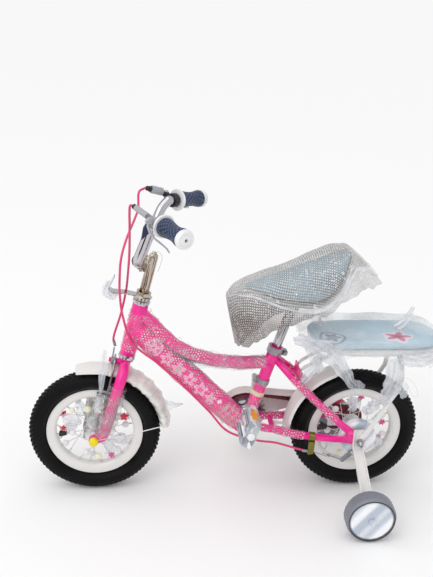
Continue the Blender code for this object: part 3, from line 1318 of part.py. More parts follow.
def brake_lever(side, sign, carrier):
    """The curved blade from its hub down in front of the grip."""
    start, out, fore, lift = grip_frame(sign)

    def local(g, d, a):
        return start + out * g + fore * d + lift * a

    hub_low, hub_high = local(-0.012, 0.012, 0.0240), local(-0.012, 0.012, 0.0300)
    whole = scrap(rod(hub_low, hub_high, 0.0084, 12))
    route = [(-0.012, 0.0140, 0.0270), (-0.004, 0.0225, 0.0262), (0.006, 0.0290, 0.0205),
             (0.020, 0.0325, 0.0110), (0.038, 0.0325, 0.0040), (0.056, 0.0340, 0.0010),
             (0.0665, 0.0370, 0.0)]
    rings = []
    spots = [local(*p) for p in route]
    sizes = ((0.0027, 0.0030), (0.0034, 0.0028), (0.0048, 0.0024), (0.0054, 0.0022),
             (0.0052, 0.0020), (0.0044, 0.0018), (0.0026, 0.0014))
    for i, point in enumerate(spots):
        along = (spots[min(i + 1, len(spots) - 1)] - spots[max(i - 1, 0)]).normalized()
        flat = (lift - along * lift.dot(along)).normalized()
        rings.append(ellipse(point, flat, along.cross(flat), *sizes[i], 6))
    blade = bmesh.new()
    loft(blade, rings)
    combine(whole, [scrap(blade)])
    combine(whole, [scrap(rod(hub_low - lift * 0.01, hub_high + lift * 0.01, 0.0034, 10))],
            "DIFFERENCE")
    named(whole, "brake_lever_" + side, "zinc", carrier)


def lever_pin(sign):
    start, out, fore, lift = grip_frame(sign)
    return start - out * 0.012 + fore * 0.012 + lift * 0.027


def caliper(side, sign, carrier):
    """A side-pull arm from the centre bolt round the tyre to its brake shoe."""
    pivot = -FORK_ARCH
    near, far = (0.0205, 0.0262) if sign < 0 else (0.0270, 0.0325)
    mid = (near + far) / 2

    def spot(y, s, f=mid):
        return steer(pivot + s, f, y)

    whole = scrap(rod(spot(0, 0, near), spot(0, 0, far), 0.0080, 12))
    route = [(0.0, 0.0), (0.018, -0.003), (0.0340, -0.0180), (0.0372, -0.045), (0.0345, -0.081)]
    widths = (0.0050, 0.0050, 0.0046, 0.0042, 0.0042)
    deep = (far - near) / 2 - 0.0004
    arm = tube_body([spot(sign * y, s) for y, s in route], [(w, deep) for w in widths], 6, STEER_FORE)
    hand = [(0.002, 0.0), (0.014, 0.002), (0.031, -0.002)] if sign < 0 else \
        [(0.001, 0.001), (0.012, 0.006), (0.026, 0.0135), (0.033, 0.0135)]
    pull = tube_body([spot(y, s) for y, s in hand], [(0.0044, deep - GAP)] * len(hand), 6, STEER_FORE)
    shoe = bmesh.new()
    axle_ray = (spot(0, -0.078, 0.0265) - FRONT_AXLE).normalized()
    tangent = axle_ray.cross(Y_AXIS).normalized()
    middle = FRONT_AXLE + axle_ray * 0.1035
    loft(shoe, [[middle + tangent * along * end + axle_ray * out * tall + Y_AXIS * sign * y
                 for along, out in ((-1, -1), (1, -1), (1, 1), (-1, 1))]
                for y, end, tall in ((0.0186, 0.0190, 0.0042), (0.0250, 0.0190, 0.0042))])
    stub = scrap(rod(middle + Y_AXIS * sign * 0.0240, middle + Y_AXIS * sign * 0.0355, 0.0036, 8))
    combine(whole, [arm, pull, scrap(shoe), stub])
    combine(whole, [scrap(rod(spot(0, 0, near - 0.004), spot(0, 0, far + 0.004), 0.0035, 10))],
            "DIFFERENCE")
    named(whole, "caliper_" + side, "zinc", carrier)


def front_axle(carrier):
    """The front axle and its nuts, and the yellow caps over them."""
    whole = scrap(rod(FRONT_AXLE - Y_AXIS * 0.0575, FRONT_AXLE + Y_AXIS * 0.0575, AXLE_R, 12))
    nuts = [scrap(rod(FRONT_AXLE + Y_AXIS * sign * 0.0514, FRONT_AXLE + Y_AXIS * sign * 0.0565,
                      0.0082, 6)) for sign in (-1, 1)]
    named(combine(whole, nuts), "front_axle", "zinc", carrier)
    cap = [(0.0086, 0.0580), (0.0086, 0.0521), (0.0105, 0.0521), (0.0105, 0.0590),
           (0.0085, 0.0617), (0.0040, 0.0625)]
    for side, sign in (("left", -1), ("right", 1)):
        piece("axle_cap_" + side, solid(cap, FRONT_AXLE, Y_AXIS * sign, 14), "yellow_plastic", carrier)


def front_mudguard(carrier):
    """The front guard with its crown tab and the wire stays to the axle."""
    whole = mudguard(FRONT_AXLE, MUDGUARD_FRONT_R, 0.0270, 104, 6, 10)
    ray = (steer(-FORK_ARCH) - FRONT_AXLE).normalized()
    reach = (steer(-FORK_ARCH) - FRONT_AXLE).length - 0.0139
    parts = [tube_body([FRONT_AXLE + ray * (MUDGUARD_FRONT_R - 0.0008), FRONT_AXLE + ray * reach],
                       (0.0050, 0.0045), 8, STEER_FORE)]
    for sign in (-1, 1):
        route = [(-0.4475, 0.0185, 0.1757), (-0.4560, 0.0275, 0.1746), (-0.5200, 0.0430, 0.1660),
                 (-0.5560, 0.0500, 0.1608), (-0.6045, 0.0503, 0.1530)]
        parts.append(tube_body([at(x, sign * y, z) for x, y, z in route], 0.0015, 4))
        low, high = sorted((sign * 0.0489, sign * 0.0510))
        parts.append(scrap(rod(Vector((FRONT_AXLE.x, low, FRONT_AXLE.z)),
                               Vector((FRONT_AXLE.x, high, FRONT_AXLE.z)), 0.0090, 12)))
    combine(whole, parts)
    combine(whole, [scrap(rod(FRONT_AXLE - Y_AXIS * 0.06, FRONT_AXLE + Y_AXIS * 0.06,
                              AXLE_HOLE_R, 12))], "DIFFERENCE")
    named(whole, "front_mudguard", "white_plastic", carrier)


# Cables


def front_cable(carrier):
    """From the left lever down beside the basket bracket to the side-pull arms."""
    route = [bar_place(-0.5119, -0.0838, 0.7109), at(-0.5290, -0.0710, 0.7080),
             at(-0.5295, -0.0630, 0.6600), at(-0.5310, -0.0370, 0.6000), at(-0.5360, 0.0020, 0.5310),
             at(-0.5410, 0.0225, 0.4870), at(-0.5530, 0.0280, 0.4310), at(-0.5690, 0.0300, 0.3760),
             steer(-0.0020, 0.0297, 0.0300)]
    cable("front_cable", route, CABLE_R, "pink_cable", carrier)


def rear_cable():
    """From the right lever round the head, under the down tube to the stay and the band brake."""
    upper = [bar_place(-0.5119, 0.0838, 0.7109), at(-0.5130, 0.0800, 0.7000),
             at(-0.5140, 0.0690, 0.6680), at(-0.5210, 0.0500, 0.6500), at(-0.5395, 0.0210, 0.6095),
             at(-0.5500, -0.0050, 0.5730), at(-0.5525, -0.0215, 0.5310), at(-0.5520, -0.0245, 0.4980),
             at(-0.5470, -0.0245, 0.4540), at(-0.5310, -0.0240, 0.3940), at(-0.5110, -0.0225, 0.3690),
             at(-0.4740, -0.0205, 0.3380)]
    cable("rear_cable_upper", upper, CABLE_R, "pink_cable")
    lower = [at(-0.4733, -0.0205, 0.3374), at(-0.4120, -0.0205, 0.2775), at(-0.3500, -0.0215, 0.2100),
             at(-0.3050, -0.0240, 0.1580), at(-0.2400, -0.0300, 0.1370), at(-0.1910, -0.0400, 0.1350),
             at(-0.1470, -0.0530, 0.1280), at(-0.1200, -0.0594, 0.1244)]
    cable("rear_cable_lower", lower, CABLE_R, "pink_cable",
          wire=[at(-0.1196, -0.0594, 0.1243), at(-0.1080, -0.0594, 0.1225), at(-0.0720, -0.0578, 0.1080)])


def wheels():
    """Both road wheels on their joints."""
    front = joint("front_wheel_joint", FRONT_AXLE, bpy.data.objects["steering_joint"])
    front_hub(front)
    rim("front_rim", FRONT_AXLE, front)
    tyre("front_tyre", FRONT_AXLE, front)
    rear = joint("rear_wheel_joint", REAR_AXLE)
    rear_hub(rear)
    rim("rear_rim", REAR_AXLE, rear)
    tyre("rear_tyre", REAR_AXLE, rear)
    freewheel(joint("freewheel_joint", REAR_AXLE))


def cranks():
    """The crankset turns about the bottom bracket and carries both pedals."""
    turning = joint("crank_joint", BRACKET)
    chainring(turning)
    for side, sign in (("left", -1), ("right", 1)):
        crank("crank_" + side, sign, turning)
        pedal("pedal_" + side, sign, joint("pedal_joint_" + side, crank_end(sign), turning))


def steering():
    """Everything that turns with the fork."""
    turning = joint("steering_joint", STEER_BASE)
    fork(turning)
    headset_nut(turning)
    basket_bracket(turning)
    stem(turning)
    handlebar(turning)
    front_axle(turning)
    front_mudguard(turning)
    front_cable(turning)
    for side, sign in (("left", -1), ("right", 1)):
        grips(side, sign, turning)
        lever_bracket(side, sign, turning)
        brake_lever(side, sign, joint("lever_joint_" + side, lever_pin(sign), turning))
        caliper(side, sign, joint("caliper_joint_" + side, steer(-FORK_ARCH), turning))


def seat():
    """The post and saddle slide in the seat tube together."""
    sliding = joint("seat_joint", seat_axis(0))
    seat_post(sliding)
    saddle(sliding)
    saddle_wrap(sliding)


def fixed_pieces():
    """Everything bolted to the frame."""
    frame()
    headset_cups()
    seat_collar()
    rear_axle()
    chain_guard()
    guard_clip()
    rear_mudguard()
    carrier_frame()
    passenger_seat()
    passenger_wrap()
    rear_brake_cover()
    rear_brake_clip()
    rear_cable()
    chain()


def main():
    clear_scene()
    fixed_pieces()
    steering()
    wheels()
    cranks()
    seat()
    rear_brake_arm(joint("brake_arm_joint", brake_pivot()))
    for side, sign in (("left", -1), ("right", 1)):
        stabiliser_bracket("stabiliser_bracket_" + side, sign)
        place = at(SMALL_AXLE_X, 0, SMALL_WHEEL_R)
        stabiliser_wheel(side, sign, joint("stabiliser_joint_" + side, place))


if __name__ == "__main__":
    main()
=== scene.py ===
"""Finish and fine detail of a child's bicycle with stabilisers, over its solid parts.

Places are in metres, except in the tables that say millimetres. The bicycle points along -X, its
left side is -Y, and it stands on Z = 0.
"""

from math import asin, copysign, cos, pi, radians, sin, sqrt

import bpy
from bpy.props import FloatProperty, FloatVectorProperty, IntProperty, PointerProperty
from mathutils import Matrix, Vector
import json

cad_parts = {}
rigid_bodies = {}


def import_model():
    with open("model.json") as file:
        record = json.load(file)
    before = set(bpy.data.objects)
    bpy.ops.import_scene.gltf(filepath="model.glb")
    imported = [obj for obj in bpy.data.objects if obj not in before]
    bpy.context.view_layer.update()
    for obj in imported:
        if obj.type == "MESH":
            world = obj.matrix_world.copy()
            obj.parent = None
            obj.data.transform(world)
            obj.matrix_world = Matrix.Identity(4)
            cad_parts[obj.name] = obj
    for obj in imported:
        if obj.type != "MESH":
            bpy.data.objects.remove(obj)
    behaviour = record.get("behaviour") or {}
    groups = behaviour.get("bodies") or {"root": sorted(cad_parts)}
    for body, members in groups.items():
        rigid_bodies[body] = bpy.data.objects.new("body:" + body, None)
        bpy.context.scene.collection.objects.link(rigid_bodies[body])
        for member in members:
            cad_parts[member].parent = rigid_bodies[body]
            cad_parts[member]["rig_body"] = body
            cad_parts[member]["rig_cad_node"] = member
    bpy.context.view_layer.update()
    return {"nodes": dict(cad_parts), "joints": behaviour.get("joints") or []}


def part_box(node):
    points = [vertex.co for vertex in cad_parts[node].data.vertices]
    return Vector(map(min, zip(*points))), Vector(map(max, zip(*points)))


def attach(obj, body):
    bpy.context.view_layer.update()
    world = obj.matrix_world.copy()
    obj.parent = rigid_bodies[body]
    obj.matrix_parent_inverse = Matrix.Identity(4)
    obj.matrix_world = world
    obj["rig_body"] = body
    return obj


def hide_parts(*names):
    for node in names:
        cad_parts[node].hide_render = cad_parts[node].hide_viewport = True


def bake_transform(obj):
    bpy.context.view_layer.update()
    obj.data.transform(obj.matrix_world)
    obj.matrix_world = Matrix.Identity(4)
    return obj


bl_info = {
    "name": "Child's Bicycle Finish",
    "version": (1, 0, 0),
    "blender": (4, 5, 0),
    "location": "3D View > Sidebar > Bicycle",
    "description": "Builds the finish, trim and shipping film of a child's bicycle",
    "category": "Add Mesh",
}

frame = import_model()
NODES = frame["nodes"]
JOINTS = {joint["name"]: joint for joint in frame["joints"]}

FRONT_AXLE = Vector(JOINTS["front_wheel_spin"]["pos_m"])
REAR_AXLE = Vector(JOINTS["rear_wheel_spin"]["pos_m"])
BRACKET = Vector(JOINTS["crank_spin"]["pos_m"])
STEER_BASE = Vector(JOINTS["steering_turn"]["pos_m"])
STEER_UP = Vector(JOINTS["steering_turn"]["axis"]).normalized()
STEER_FORE = Vector((-STEER_UP.z, 0, STEER_UP.x))
SEAT_UP = Vector(JOINTS["seat_slide"]["axis"]).normalized()
BAR_TURN = radians(-8.5)
X_AXIS = Vector((1, 0, 0))
Y_AXIS = Vector((0, 1, 0))
Z_AXIS = Vector((0, 0, 1))
SIDES = (("left", -1), ("right", 1))

SPOKES_PER_SIDE = 10
SPOKE_LEAD = radians(58)
SPOKE_HUB_R = 0.0185
SPOKE_RIM_R = 0.0877
SPOKE_STAGGER = 0.0007
PEDAL_LEAN = radians(21)
CARCASS_R = 0.02
WALL_RISE = 0.0006
FILM_THICK = 0.0004
STUFFING_SLACK = 0.004


def linear(red, green, blue):
    """A display colour, 0 to 255, as the linear value that a shader takes."""
    shares = (value / 255 for value in (red, green, blue))
    return tuple(s / 12.92 if s <= 0.04045 else ((s + 0.055) / 1.055) ** 2.4 for s in shares)


def metres(row):
    return tuple(value / 1000 for value in row)


def places(rows):
    """Places given in millimetres."""
    return [Vector(metres(row)) for row in rows]


def from_rear(x, y, z):
    """A place measured from the ground point under the rear axle."""
    return Vector((REAR_AXLE.x + x, y, z))


def rear_places(rows, sign=1):
    """Places in millimetres from the ground point under the rear axle."""
    return [from_rear(x, sign * y, z) for x, y, z in map(metres, rows)]


def steer(up, fore=0.0, y=0.0):
    """A place measured up the steering axis from the head tube's foot, and ahead of it."""
    return STEER_BASE + STEER_UP * up + STEER_FORE * fore + Y_AXIS * y


def steer_places(rows, sign=1):
    """Places in millimetres up the steering axis, ahead of it and to one side."""
    return [steer(up, fore, sign * y) for up, fore, y in map(metres, rows)]


def bar_place(x, y, z):
    """A place on the handlebar, turned with it about the steering axis."""
    turn = Matrix.Rotation(BAR_TURN, 3, STEER_UP)
    return STEER_BASE + turn @ (from_rear(x, y, z) - STEER_BASE)


# Settings


def swatch(name, description, *rgb):
    return FloatVectorProperty(name=name, description=description, subtype="COLOR", size=3,
                               default=linear(*rgb))


def measure(name, description, default, low, high):
    return FloatProperty(name=name, description=description, default=default, min=low, max=high,
                         unit="LENGTH")


class BicycleColours(bpy.types.PropertyGroup):
    paint: swatch("Paint", "Frame and fork", 246, 24, 148)
    trim: swatch("White trim", "Rims, guards and carrier", 236, 234, 232)
    rubber: swatch("Tyre", "Tread rubber", 11, 10, 12)
    grip: swatch("Grips", "Handlebar grips", 44, 56, 84)
    vinyl: swatch("Seats", "Saddle and passenger seat covers", 186, 214, 228)
    cable: swatch("Cables", "Brake cable outers", 222, 58, 118)


class WheelSizes(bpy.types.PropertyGroup):
    knobs: IntProperty(name="Knobs round the tyre", description="Tread blocks in each row",
                       default=78, min=24, max=120)
    knob_height: measure("Knob height", "How far the tread blocks stand out", 0.0016, 0.0005, 0.003)
    spoke: measure("Spoke", "Radius of a spoke's wire", 0.0009, 0.0005, 0.002)


class FilmSizes(bpy.types.PropertyGroup):
    bubble: measure("Bubble pitch", "Distance between the film's bubbles", 0.0058, 0.003, 0.02)
    sleeve: measure("Sleeve standoff", "Gap between a tube and the film round it", 0.0014, 0.0005, 0.004)


# Shared modelling steps


def deselect():
    if bpy.context.object and bpy.context.object.mode != "OBJECT":
        bpy.ops.object.mode_set(mode="OBJECT")
    bpy.ops.object.select_all(action="DESELECT")


def pick(*objects):
    """Selects only these objects; the first one is active."""
    deselect()
    for obj in objects:
        obj.select_set(True)
    bpy.context.view_layer.objects.active = objects[0]
    return objects[0]


def edit(obj):
    pick(obj)
    bpy.ops.object.mode_set(mode="EDIT")
    bpy.ops.mesh.select_all(action="SELECT")


def done(obj):
    """Leaves edit mode."""
    bpy.ops.object.mode_set(mode="OBJECT")
    return obj


def drawn(corners):
    """A ring of edges pulled into an outline."""
    deselect()
    bpy.ops.mesh.primitive_circle_add(vertices=len(corners), radius=0.01)
    obj = bpy.context.object
    for vertex, corner in zip(obj.data.vertices, corners):
        vertex.co = corner
    return obj


def tidy(obj, fill=False):
    """Merges doubles and turns the faces outwards."""
    edit(obj)
    bpy.ops.mesh.remove_doubles(threshold=1e-6)
    if fill:
        bpy.ops.mesh.fill_holes(sides=0)
    bpy.ops.mesh.normals_make_consistent(inside=False)
    return done(obj)


def square(axis):
    """A direction square to an axis, the same for every turned piece on it."""
    helper = Z_AXIS if abs(axis.normalized().z) < 0.9 else X_AXIS
    return axis.cross(helper).normalized()


def turned(profile, centre, axis, steps=64):
    """Draws an outline of (radius, along) pairs and spins it about an axis."""
    axis = axis.normalized()
    side = square(axis)
    obj = drawn([centre + side * radius + axis * along for radius, along in profile])
    edit(obj)
    bpy.ops.mesh.spin(steps=steps, angle=2 * pi, center=centre, axis=axis)
    return tidy(done(obj))


def rounded(profile, radius=0.001, steps=3):
    """Replaces the corners of a closed (x, y) outline with short arcs."""
    points = [Vector(p) for p in profile]
    out = []
    for i, corner in enumerate(points):
        back = points[i - 1] - corner
        ahead = points[(i + 1) % len(points)] - corner
        reach = min(radius, back.length * 0.45, ahead.length * 0.45)
        start = corner + back.normalized() * reach
        end = corner + ahead.normalized() * reach
        for step in range(steps + 1):
            t = step / steps
            out.append(start * (1 - t) ** 2 + corner * (2 * t * (1 - t)) + end * t ** 2)
    return [(p.x, p.y) for p in out]


def pulled(corners, direction):
    """Fills an outline and extrudes it into a plate."""
    obj = drawn(corners)
    edit(obj)
    bpy.ops.mesh.edge_face_add()
    bpy.ops.mesh.extrude_region_move(TRANSFORM_OT_translate={"value": direction})
    return tidy(done(obj))


def modify(obj, kind, **settings):
    """Adds a modifier and applies it."""
    pick(obj)
    modifier = obj.modifiers.new(kind.lower(), kind)
    for key, value in settings.items():
        setattr(modifier, key, value)
    bpy.ops.object.modifier_apply(modifier=modifier.name)
    return obj


def bevelled(obj, width, segments=2, degrees=30):
    return modify(obj, "BEVEL", width=width, segments=segments, limit_method="ANGLE",
                  angle_limit=radians(degrees))


def joined(*objects):
    pick(*objects)
    bpy.ops.object.join()
    return objects[0]


def spline(a, b, c, d, t):
    """A smooth value between b and c, which may be numbers or places."""
    return 0.5 * (2 * b + (c - a) * t + (2 * a - 5 * b + 4 * c - d) * t ** 2
                  + (3 * b - a - 3 * c + d) * t ** 3)


def catmull(points, steps):
    """A smooth curve through a route's own points."""
    padded = [points[0] * 2 - points[1], *points, points[-1] * 2 - points[-2]]
    path = []
    for i in range(1, len(padded) - 2):
        path += [spline(*padded[i - 1:i + 3], step / steps) for step in range(steps)]
    return path + [points[-1]]


def lengths(points):
    """How far along a row each of its points is."""
    out = [0.0]
    for a, b in zip(points, points[1:]):
        out.append(out[-1] + (b - a).length)
    return out


def centred(values):
    """The same lengths, measured from the middle one."""
    middle = values[len(values) // 2]
    return [value - middle for value in values]


def skin(rings, caps=True, closed=True):
    """A grid laid over rows of points, rolled shut if they are rings, and mapped in metres."""
    rows = [[*ring, ring[0]] if closed else list(ring) for ring in rings]
    width = len(rows[0])
    deselect()
    bpy.ops.mesh.primitive_grid_add(x_subdivisions=width - 1, y_subdivisions=len(rows) - 1, size=1.0)
    obj = bpy.context.object
    for number, vertex in enumerate(obj.data.vertices):
        vertex.co = rows[number // width][number % width]
    along = [centred(lengths([row[column] for row in rows])) for column in range(width)]
    across = [centred(lengths(row)) for row in rows]
    layer = obj.data.uv_layers[0]
    layer.name = "around"
    for loop in obj.data.loops:
        row, column = divmod(loop.vertex_index, width)
        layer.data[loop.index].uv = (along[column][row], across[row][column])
    return tidy(obj, fill=caps and closed)


def path_frames(points, up=None):
    """A place, side and upward direction at each point of a path, carried without twist."""
    frames = []
    side = None
    for i, point in enumerate(points):
        ahead = points[min(i + 1, len(points) - 1)] - points[max(i - 1, 0)]
        along = ahead.normalized()
        if up is not None:
            side = along.cross(up).normalized()
        elif side is None:
            side = square(along)
        else:
            side = (side - along * side.dot(along)).normalized()
        frames.append((point, side, along.cross(side)))
    return frames


def swept(points, radii, sides=24, caps=True):
    """A tube along a path, of one radius or of one for each point."""
    if isinstance(radii, float):
        radii = [radii] * len(points)
    turns = [2 * pi * i / sides for i in range(sides)]
    rings = [[point + side * radius * cos(a) + lift * radius * sin(a) for a in turns]
             for (point, side, lift), radius in zip(path_frames(points), radii)]
    return skin(rings, caps)


def dressed(node):
    """A copy of a solid part with its doubles merged, for finishing."""
    copy = NODES[node].copy()
    copy.data = NODES[node].data.copy()
    copy.parent = None
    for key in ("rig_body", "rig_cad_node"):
        if key in copy:
            del copy[key]
    bpy.context.scene.collection.objects.link(copy)
    edit(copy)
    bpy.ops.mesh.remove_doubles(threshold=1e-5)
    bpy.ops.mesh.tris_convert_to_quads(face_threshold=0.6, shape_threshold=0.9)
    return done(copy)


def settle(obj, name, finish, body, replaces=(), smooth=32):
    """Names a finished piece, puts its place in its mesh, and gives it look, slot and body."""
    pick(obj)
    bpy.ops.object.transform_apply(location=True, rotation=True, scale=True)
    obj.name = name
    obj.data.name = name
    obj.data.materials.clear()
    obj.data.materials.append(look(finish))
    bpy.ops.object.shade_smooth_by_angle(angle=radians(smooth))
    if replaces:
        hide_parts(*replaces)
    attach(obj, body)
    return obj


def finish_node(node, name, finish, smooth, bevel=0.0):
    """Swaps a solid part for a smoothed and eased copy of itself."""
    obj = dressed(node)
    if bevel:
        bevelled(obj, bevel, 2, 40)
    return settle(obj, name, finish, NODES[node]["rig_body"], [node], smooth)


# Materials


class Look:
    """A procedural material being wired up round one Principled shader."""

    def __init__(self, name, colour, roughness, metallic=0.0):
        self.material = bpy.data.materials.new(name)
        self.material.use_nodes = True
        self.tree = self.material.node_tree
        self.shader = self.tree.nodes["Principled BSDF"]
        self.set("Base Color", colour)
        self.set("Roughness", roughness)
        self.set("Metallic", metallic)
        self.material.diffuse_color = (*colour, 1.0)
        self.place = self.add("TexCoord").outputs["Object"]

    def add(self, kind, inputs=None, **settings):
        """A new node, its inputs given as numbers, colours or other nodes' outputs."""
        node = self.tree.nodes.new(f"ShaderNode{kind}")
        for key, value in settings.items():
            setattr(node, key, value)
        for key, value in (inputs or {}).items():
            self.feed(node.inputs[key], value)
        return node

    def feed(self, socket, value):
        if isinstance(value, bpy.types.NodeSocket):
            self.tree.links.new(value, socket)
        else:
            socket.default_value = (*value, 1.0) if socket.type == "RGBA" else value

    def set(self, key, value):
        self.feed(self.shader.inputs[key], value)

    def around(self):
        """The piece's own map along and around its skin."""
        return self.add("UVMap", uv_map="around").outputs["UV"]

    def scaled(self, scale):
        """Object coordinates stretched for a directional pattern."""
        return self.add("Mapping", {"Scale": scale, "Vector": self.place}).outputs["Vector"]

    def noise(self, scale, detail=3.0, place=None):
        inputs = {"Scale": scale, "Detail": detail, "Vector": place or self.place}
        return self.add("TexNoise", inputs).outputs["Fac"]

    def cells(self, scale, feature="F1", place=None):
        inputs = {"Scale": scale, "Vector": place or self.place}
        return self.add("TexVoronoi", inputs, feature=feature).outputs

    def span(self, value, low, high, to_low=0.0, to_high=1.0):
        inputs = {"Value": value, "From Min": low, "From Max": high, "To Min": to_low, "To Max": to_high}
        return self.add("MapRange", inputs).outputs["Result"]

    def math(self, operation, first, second=0.5):
        return self.add("Math", {0: first, 1: second}, operation=operation).outputs[0]

    def vector(self, operation, first, second):
        return self.add("VectorMath", {0: first, 1: second}, operation=operation).outputs

    def wave(self, place, direction):
        """The cosine of how far a place lies along a direction, in radians."""
        return self.math("COSINE", self.vector("DOT_PRODUCT", place, direction)["Value"])

    def blisters(self, place, pitch):
        """Round bumps in a close packed field: 1 on a crown, 0 between them."""
        reach = 4 * pi / (sqrt(3) * pitch)
        waves = [self.wave(place, (reach * cos(angle), reach * sin(angle), 0))
                 for angle in (0, radians(120), radians(240))]
        total = self.math("ADD", self.math("ADD", waves[0], waves[1]), waves[2])
        return self.span(total, -0.2, 2.4)

    def height(self):
        """How high a place is on the finished object."""
        return self.add("SeparateXYZ", {0: self.place}).outputs["Z"]

    def disc(self, centre, radius, soft):
        """1 inside a circle seen from the side."""
        flat = self.vector("MULTIPLY", self.place, (1, 0, 1))[0]
        far = self.vector("DISTANCE", flat, (centre.x, 0, centre.z))["Value"]
        return self.span(far, radius + soft, radius - soft)

    def blend(self, share, low, high):
        """A colour between two, which may be colours or sockets."""
        return self.add("Mix", {0: share, 6: low, 7: high}, data_type="RGBA").outputs[2]

    def tones(self, share, colour, low, high):
        """Mottles the surface between two shades of a colour."""
        self.set("Base Color", self.blend(share, shade(colour, low), shade(colour, high)))

    def worn(self, share, low, high):
        """Lets the roughness wander between two values."""
        self.set("Roughness", self.span(share, 0.3, 0.7, low, high))

    def coat(self, weight, roughness):
        self.set("Coat Weight", weight)
        self.set("Coat Roughness", roughness)

    def bump(self, height, distance, strength):
        """Raises the surface by a height; a second call adds to the first."""
        inputs = {"Strength": strength, "Distance": distance, "Height": height}
        normal = self.shader.inputs["Normal"]
        if normal.is_linked:
            inputs["Normal"] = normal.links[0].from_socket
        self.set("Normal", self.add("Bump", inputs).outputs["Normal"])


def shade(colour, factor):
    return tuple(min(1.0, value * factor) for value in colour)


LOOKS = {}


def look(name):
    """A finish by name, wired up the first time that it is wanted."""
    if name not in LOOKS:
        make, *values = FINISHES[name]
        LOOKS[name] = make(*values).material
    return LOOKS[name]


def chosen(name):
    """One of the colours set in the panel."""
    return tuple(getattr(bpy.context.scene.bicycle_colours, name))


def motif(made, under, centre, radius, petals, ink, upright=False):
    """A round mark on a seat, or on a tube's side if upright, with petals if given a depth."""
    middle = (centre[0], 0, centre[1]) if upright else (*centre, 0)
    split = made.add("SeparateXYZ", {0: made.vector("SUBTRACT", made.place, middle)[0]}).outputs
    narrow = made.math("MULTIPLY", split["X"], 1.0 if upright else 0.72)
    other = split["Z" if upright else "Y"]
    squares = made.math("ADD", made.math("MULTIPLY", narrow, narrow), made.math("MULTIPLY", other, other))
    turn = made.math("MULTIPLY", made.math("ARCTAN2", other, narrow), 5.0)
    edge = made.math("ADD", made.math("MULTIPLY", made.math("COSINE", turn), radius * petals), radius)
    inside = made.span(made.math("SUBTRACT", edge, made.math("SQRT", squares)), 0.0, 0.0008)
    return made.blend(inside, under, ink)


DOWN_TUBE = steer(0.062, -0.006), BRACKET + Vector((-0.006, 0, -0.012))
PALE, GREEN, PINK = linear(255, 190, 220), linear(178, 214, 178), linear(248, 70, 160)
# Each mark on the down tube: its share of the way down, radius in mm, depth of petals and ink.
TUBE_MARKS = (
    (0.15, 21, 0.08, PALE), (0.15, 17, 0, linear(214, 120, 160)), (0.15, 12, 0.3, PALE), (0.15, 4, 0, PINK),
    (0.27, 14, 0.3, PALE), (0.27, 6, 0, PINK), (0.372, 15, 0.25, PALE), (0.372, 7, 0, GREEN),
    (0.476, 14, 0.3, PALE), (0.476, 5.5, 0, PINK), (0.578, 15, 0.25, PALE), (0.578, 7, 0, PINK),
    (0.672, 12, 0.3, PALE), (0.672, 4.5, 0, GREEN), (0.735, 6.2, 0, linear(255, 226, 238)),
    (0.8, 5.8, 0, GREEN))
# Each mark on the passenger seat: its place in mm, radius in mm, depth of petals and ink.
SEAT_MARKS = (
    (211, -43, 22.5, 0, (70, 116, 144)), (211, -43, 17.5, 0, (196, 220, 232)),
    (211, -43, 12.5, 0.25, (40, 92, 126)), (360, -38, 24, 0.12, (232, 226, 236)),
    (360, -38, 17, 0.35, (216, 92, 140)), (360, -38, 8, 0.25, (168, 24, 76)))


def frame_print(made, colour):
    """Generic flowers, dots and a check printed along both sides of the down tube."""
    start, end = DOWN_TUBE
    along = (end - start).normalized() * 420
    check = made.math("ADD", made.span(made.wave(made.place, along), 0.2, 0.5),
                      made.span(made.wave(made.place, Y_AXIS.cross(along)), 0.2, 0.5))
    field = made.math("MULTIPLY", check, made.disc(start.lerp(end, 0.86), 0.03, 0.003))
    colour = made.blend(made.math("MULTIPLY", field, 0.3), colour, linear(222, 236, 214))
    for share, radius, petals, ink in TUBE_MARKS:
        place = start.lerp(end, share)
        lift = 0.006 if share > 0.7 else 0.0
        colour = motif(made, colour, (place.x + lift, place.z + lift), radius / 1000, petals, ink, True)
    return colour


def paint_look():
    """Hot pink enamel under clear lacquer, with faint orange peel and the frame's print."""
    colour = chosen("paint")
    made = Look("pink_enamel", colour, 0.34)
    enamel = made.blend(made.noise(9.0, 2.0), shade(colour, 0.92), shade(colour, 1.06))
    made.set("Base Color", frame_print(made, enamel))
    made.coat(0.45, 0.08)
    made.bump(made.noise(420.0, 1.0), 0.00005, 0.35)
    return made


def white_paint_look():
    """White enamel on steel, mottled a little darker at random."""
    colour = chosen("trim")
    made = Look("white_enamel", colour, 0.36)
    made.tones(made.noise(14.0), colour, 0.95, 1.0)
    made.coat(0.5, 0.12)
    made.bump(made.noise(300.0, 1.0), 0.00005, 0.3)
    return made


def white_plastic_look():
    """Moulded white plastic with a fine spark-eroded grain."""
    colour = shade(chosen("trim"), 0.98)
    made = Look("white_moulding", colour, 0.42)
    made.tones(made.noise(22.0), colour, 0.94, 1.0)
    made.set("Subsurface Weight", 0.08)
    made.set("Subsurface Radius", (0.004, 0.004, 0.003))
    made.bump(made.noise(900.0, 2.0), 0.00006, 0.4)
    return made


def chrome_look(name, rgb, roughness):
    """Bright plate with handling haze."""
    colour = linear(*rgb)
    made = Look(name, colour, roughness, 1.0)
    haze = made.noise(34.0, 4.0)
    made.tones(haze, colour, 0.82, 1.05)
    made.worn(haze, roughness * 0.7, roughness * 1.7)
    made.bump(made.noise(160.0, 2.0), 0.00004, 0.25)
    return made


def zinc_look():
    """Zinc plated steel: dull, faintly spangled."""
    colour = linear(176, 178, 182)
    made = Look("zinc_plate", colour, 0.34, 1.0)
    made.tones(made.cells(260.0)["Distance"], colour, 0.75, 1.1)
    made.worn(made.noise(60.0), 0.24, 0.48)
    return made


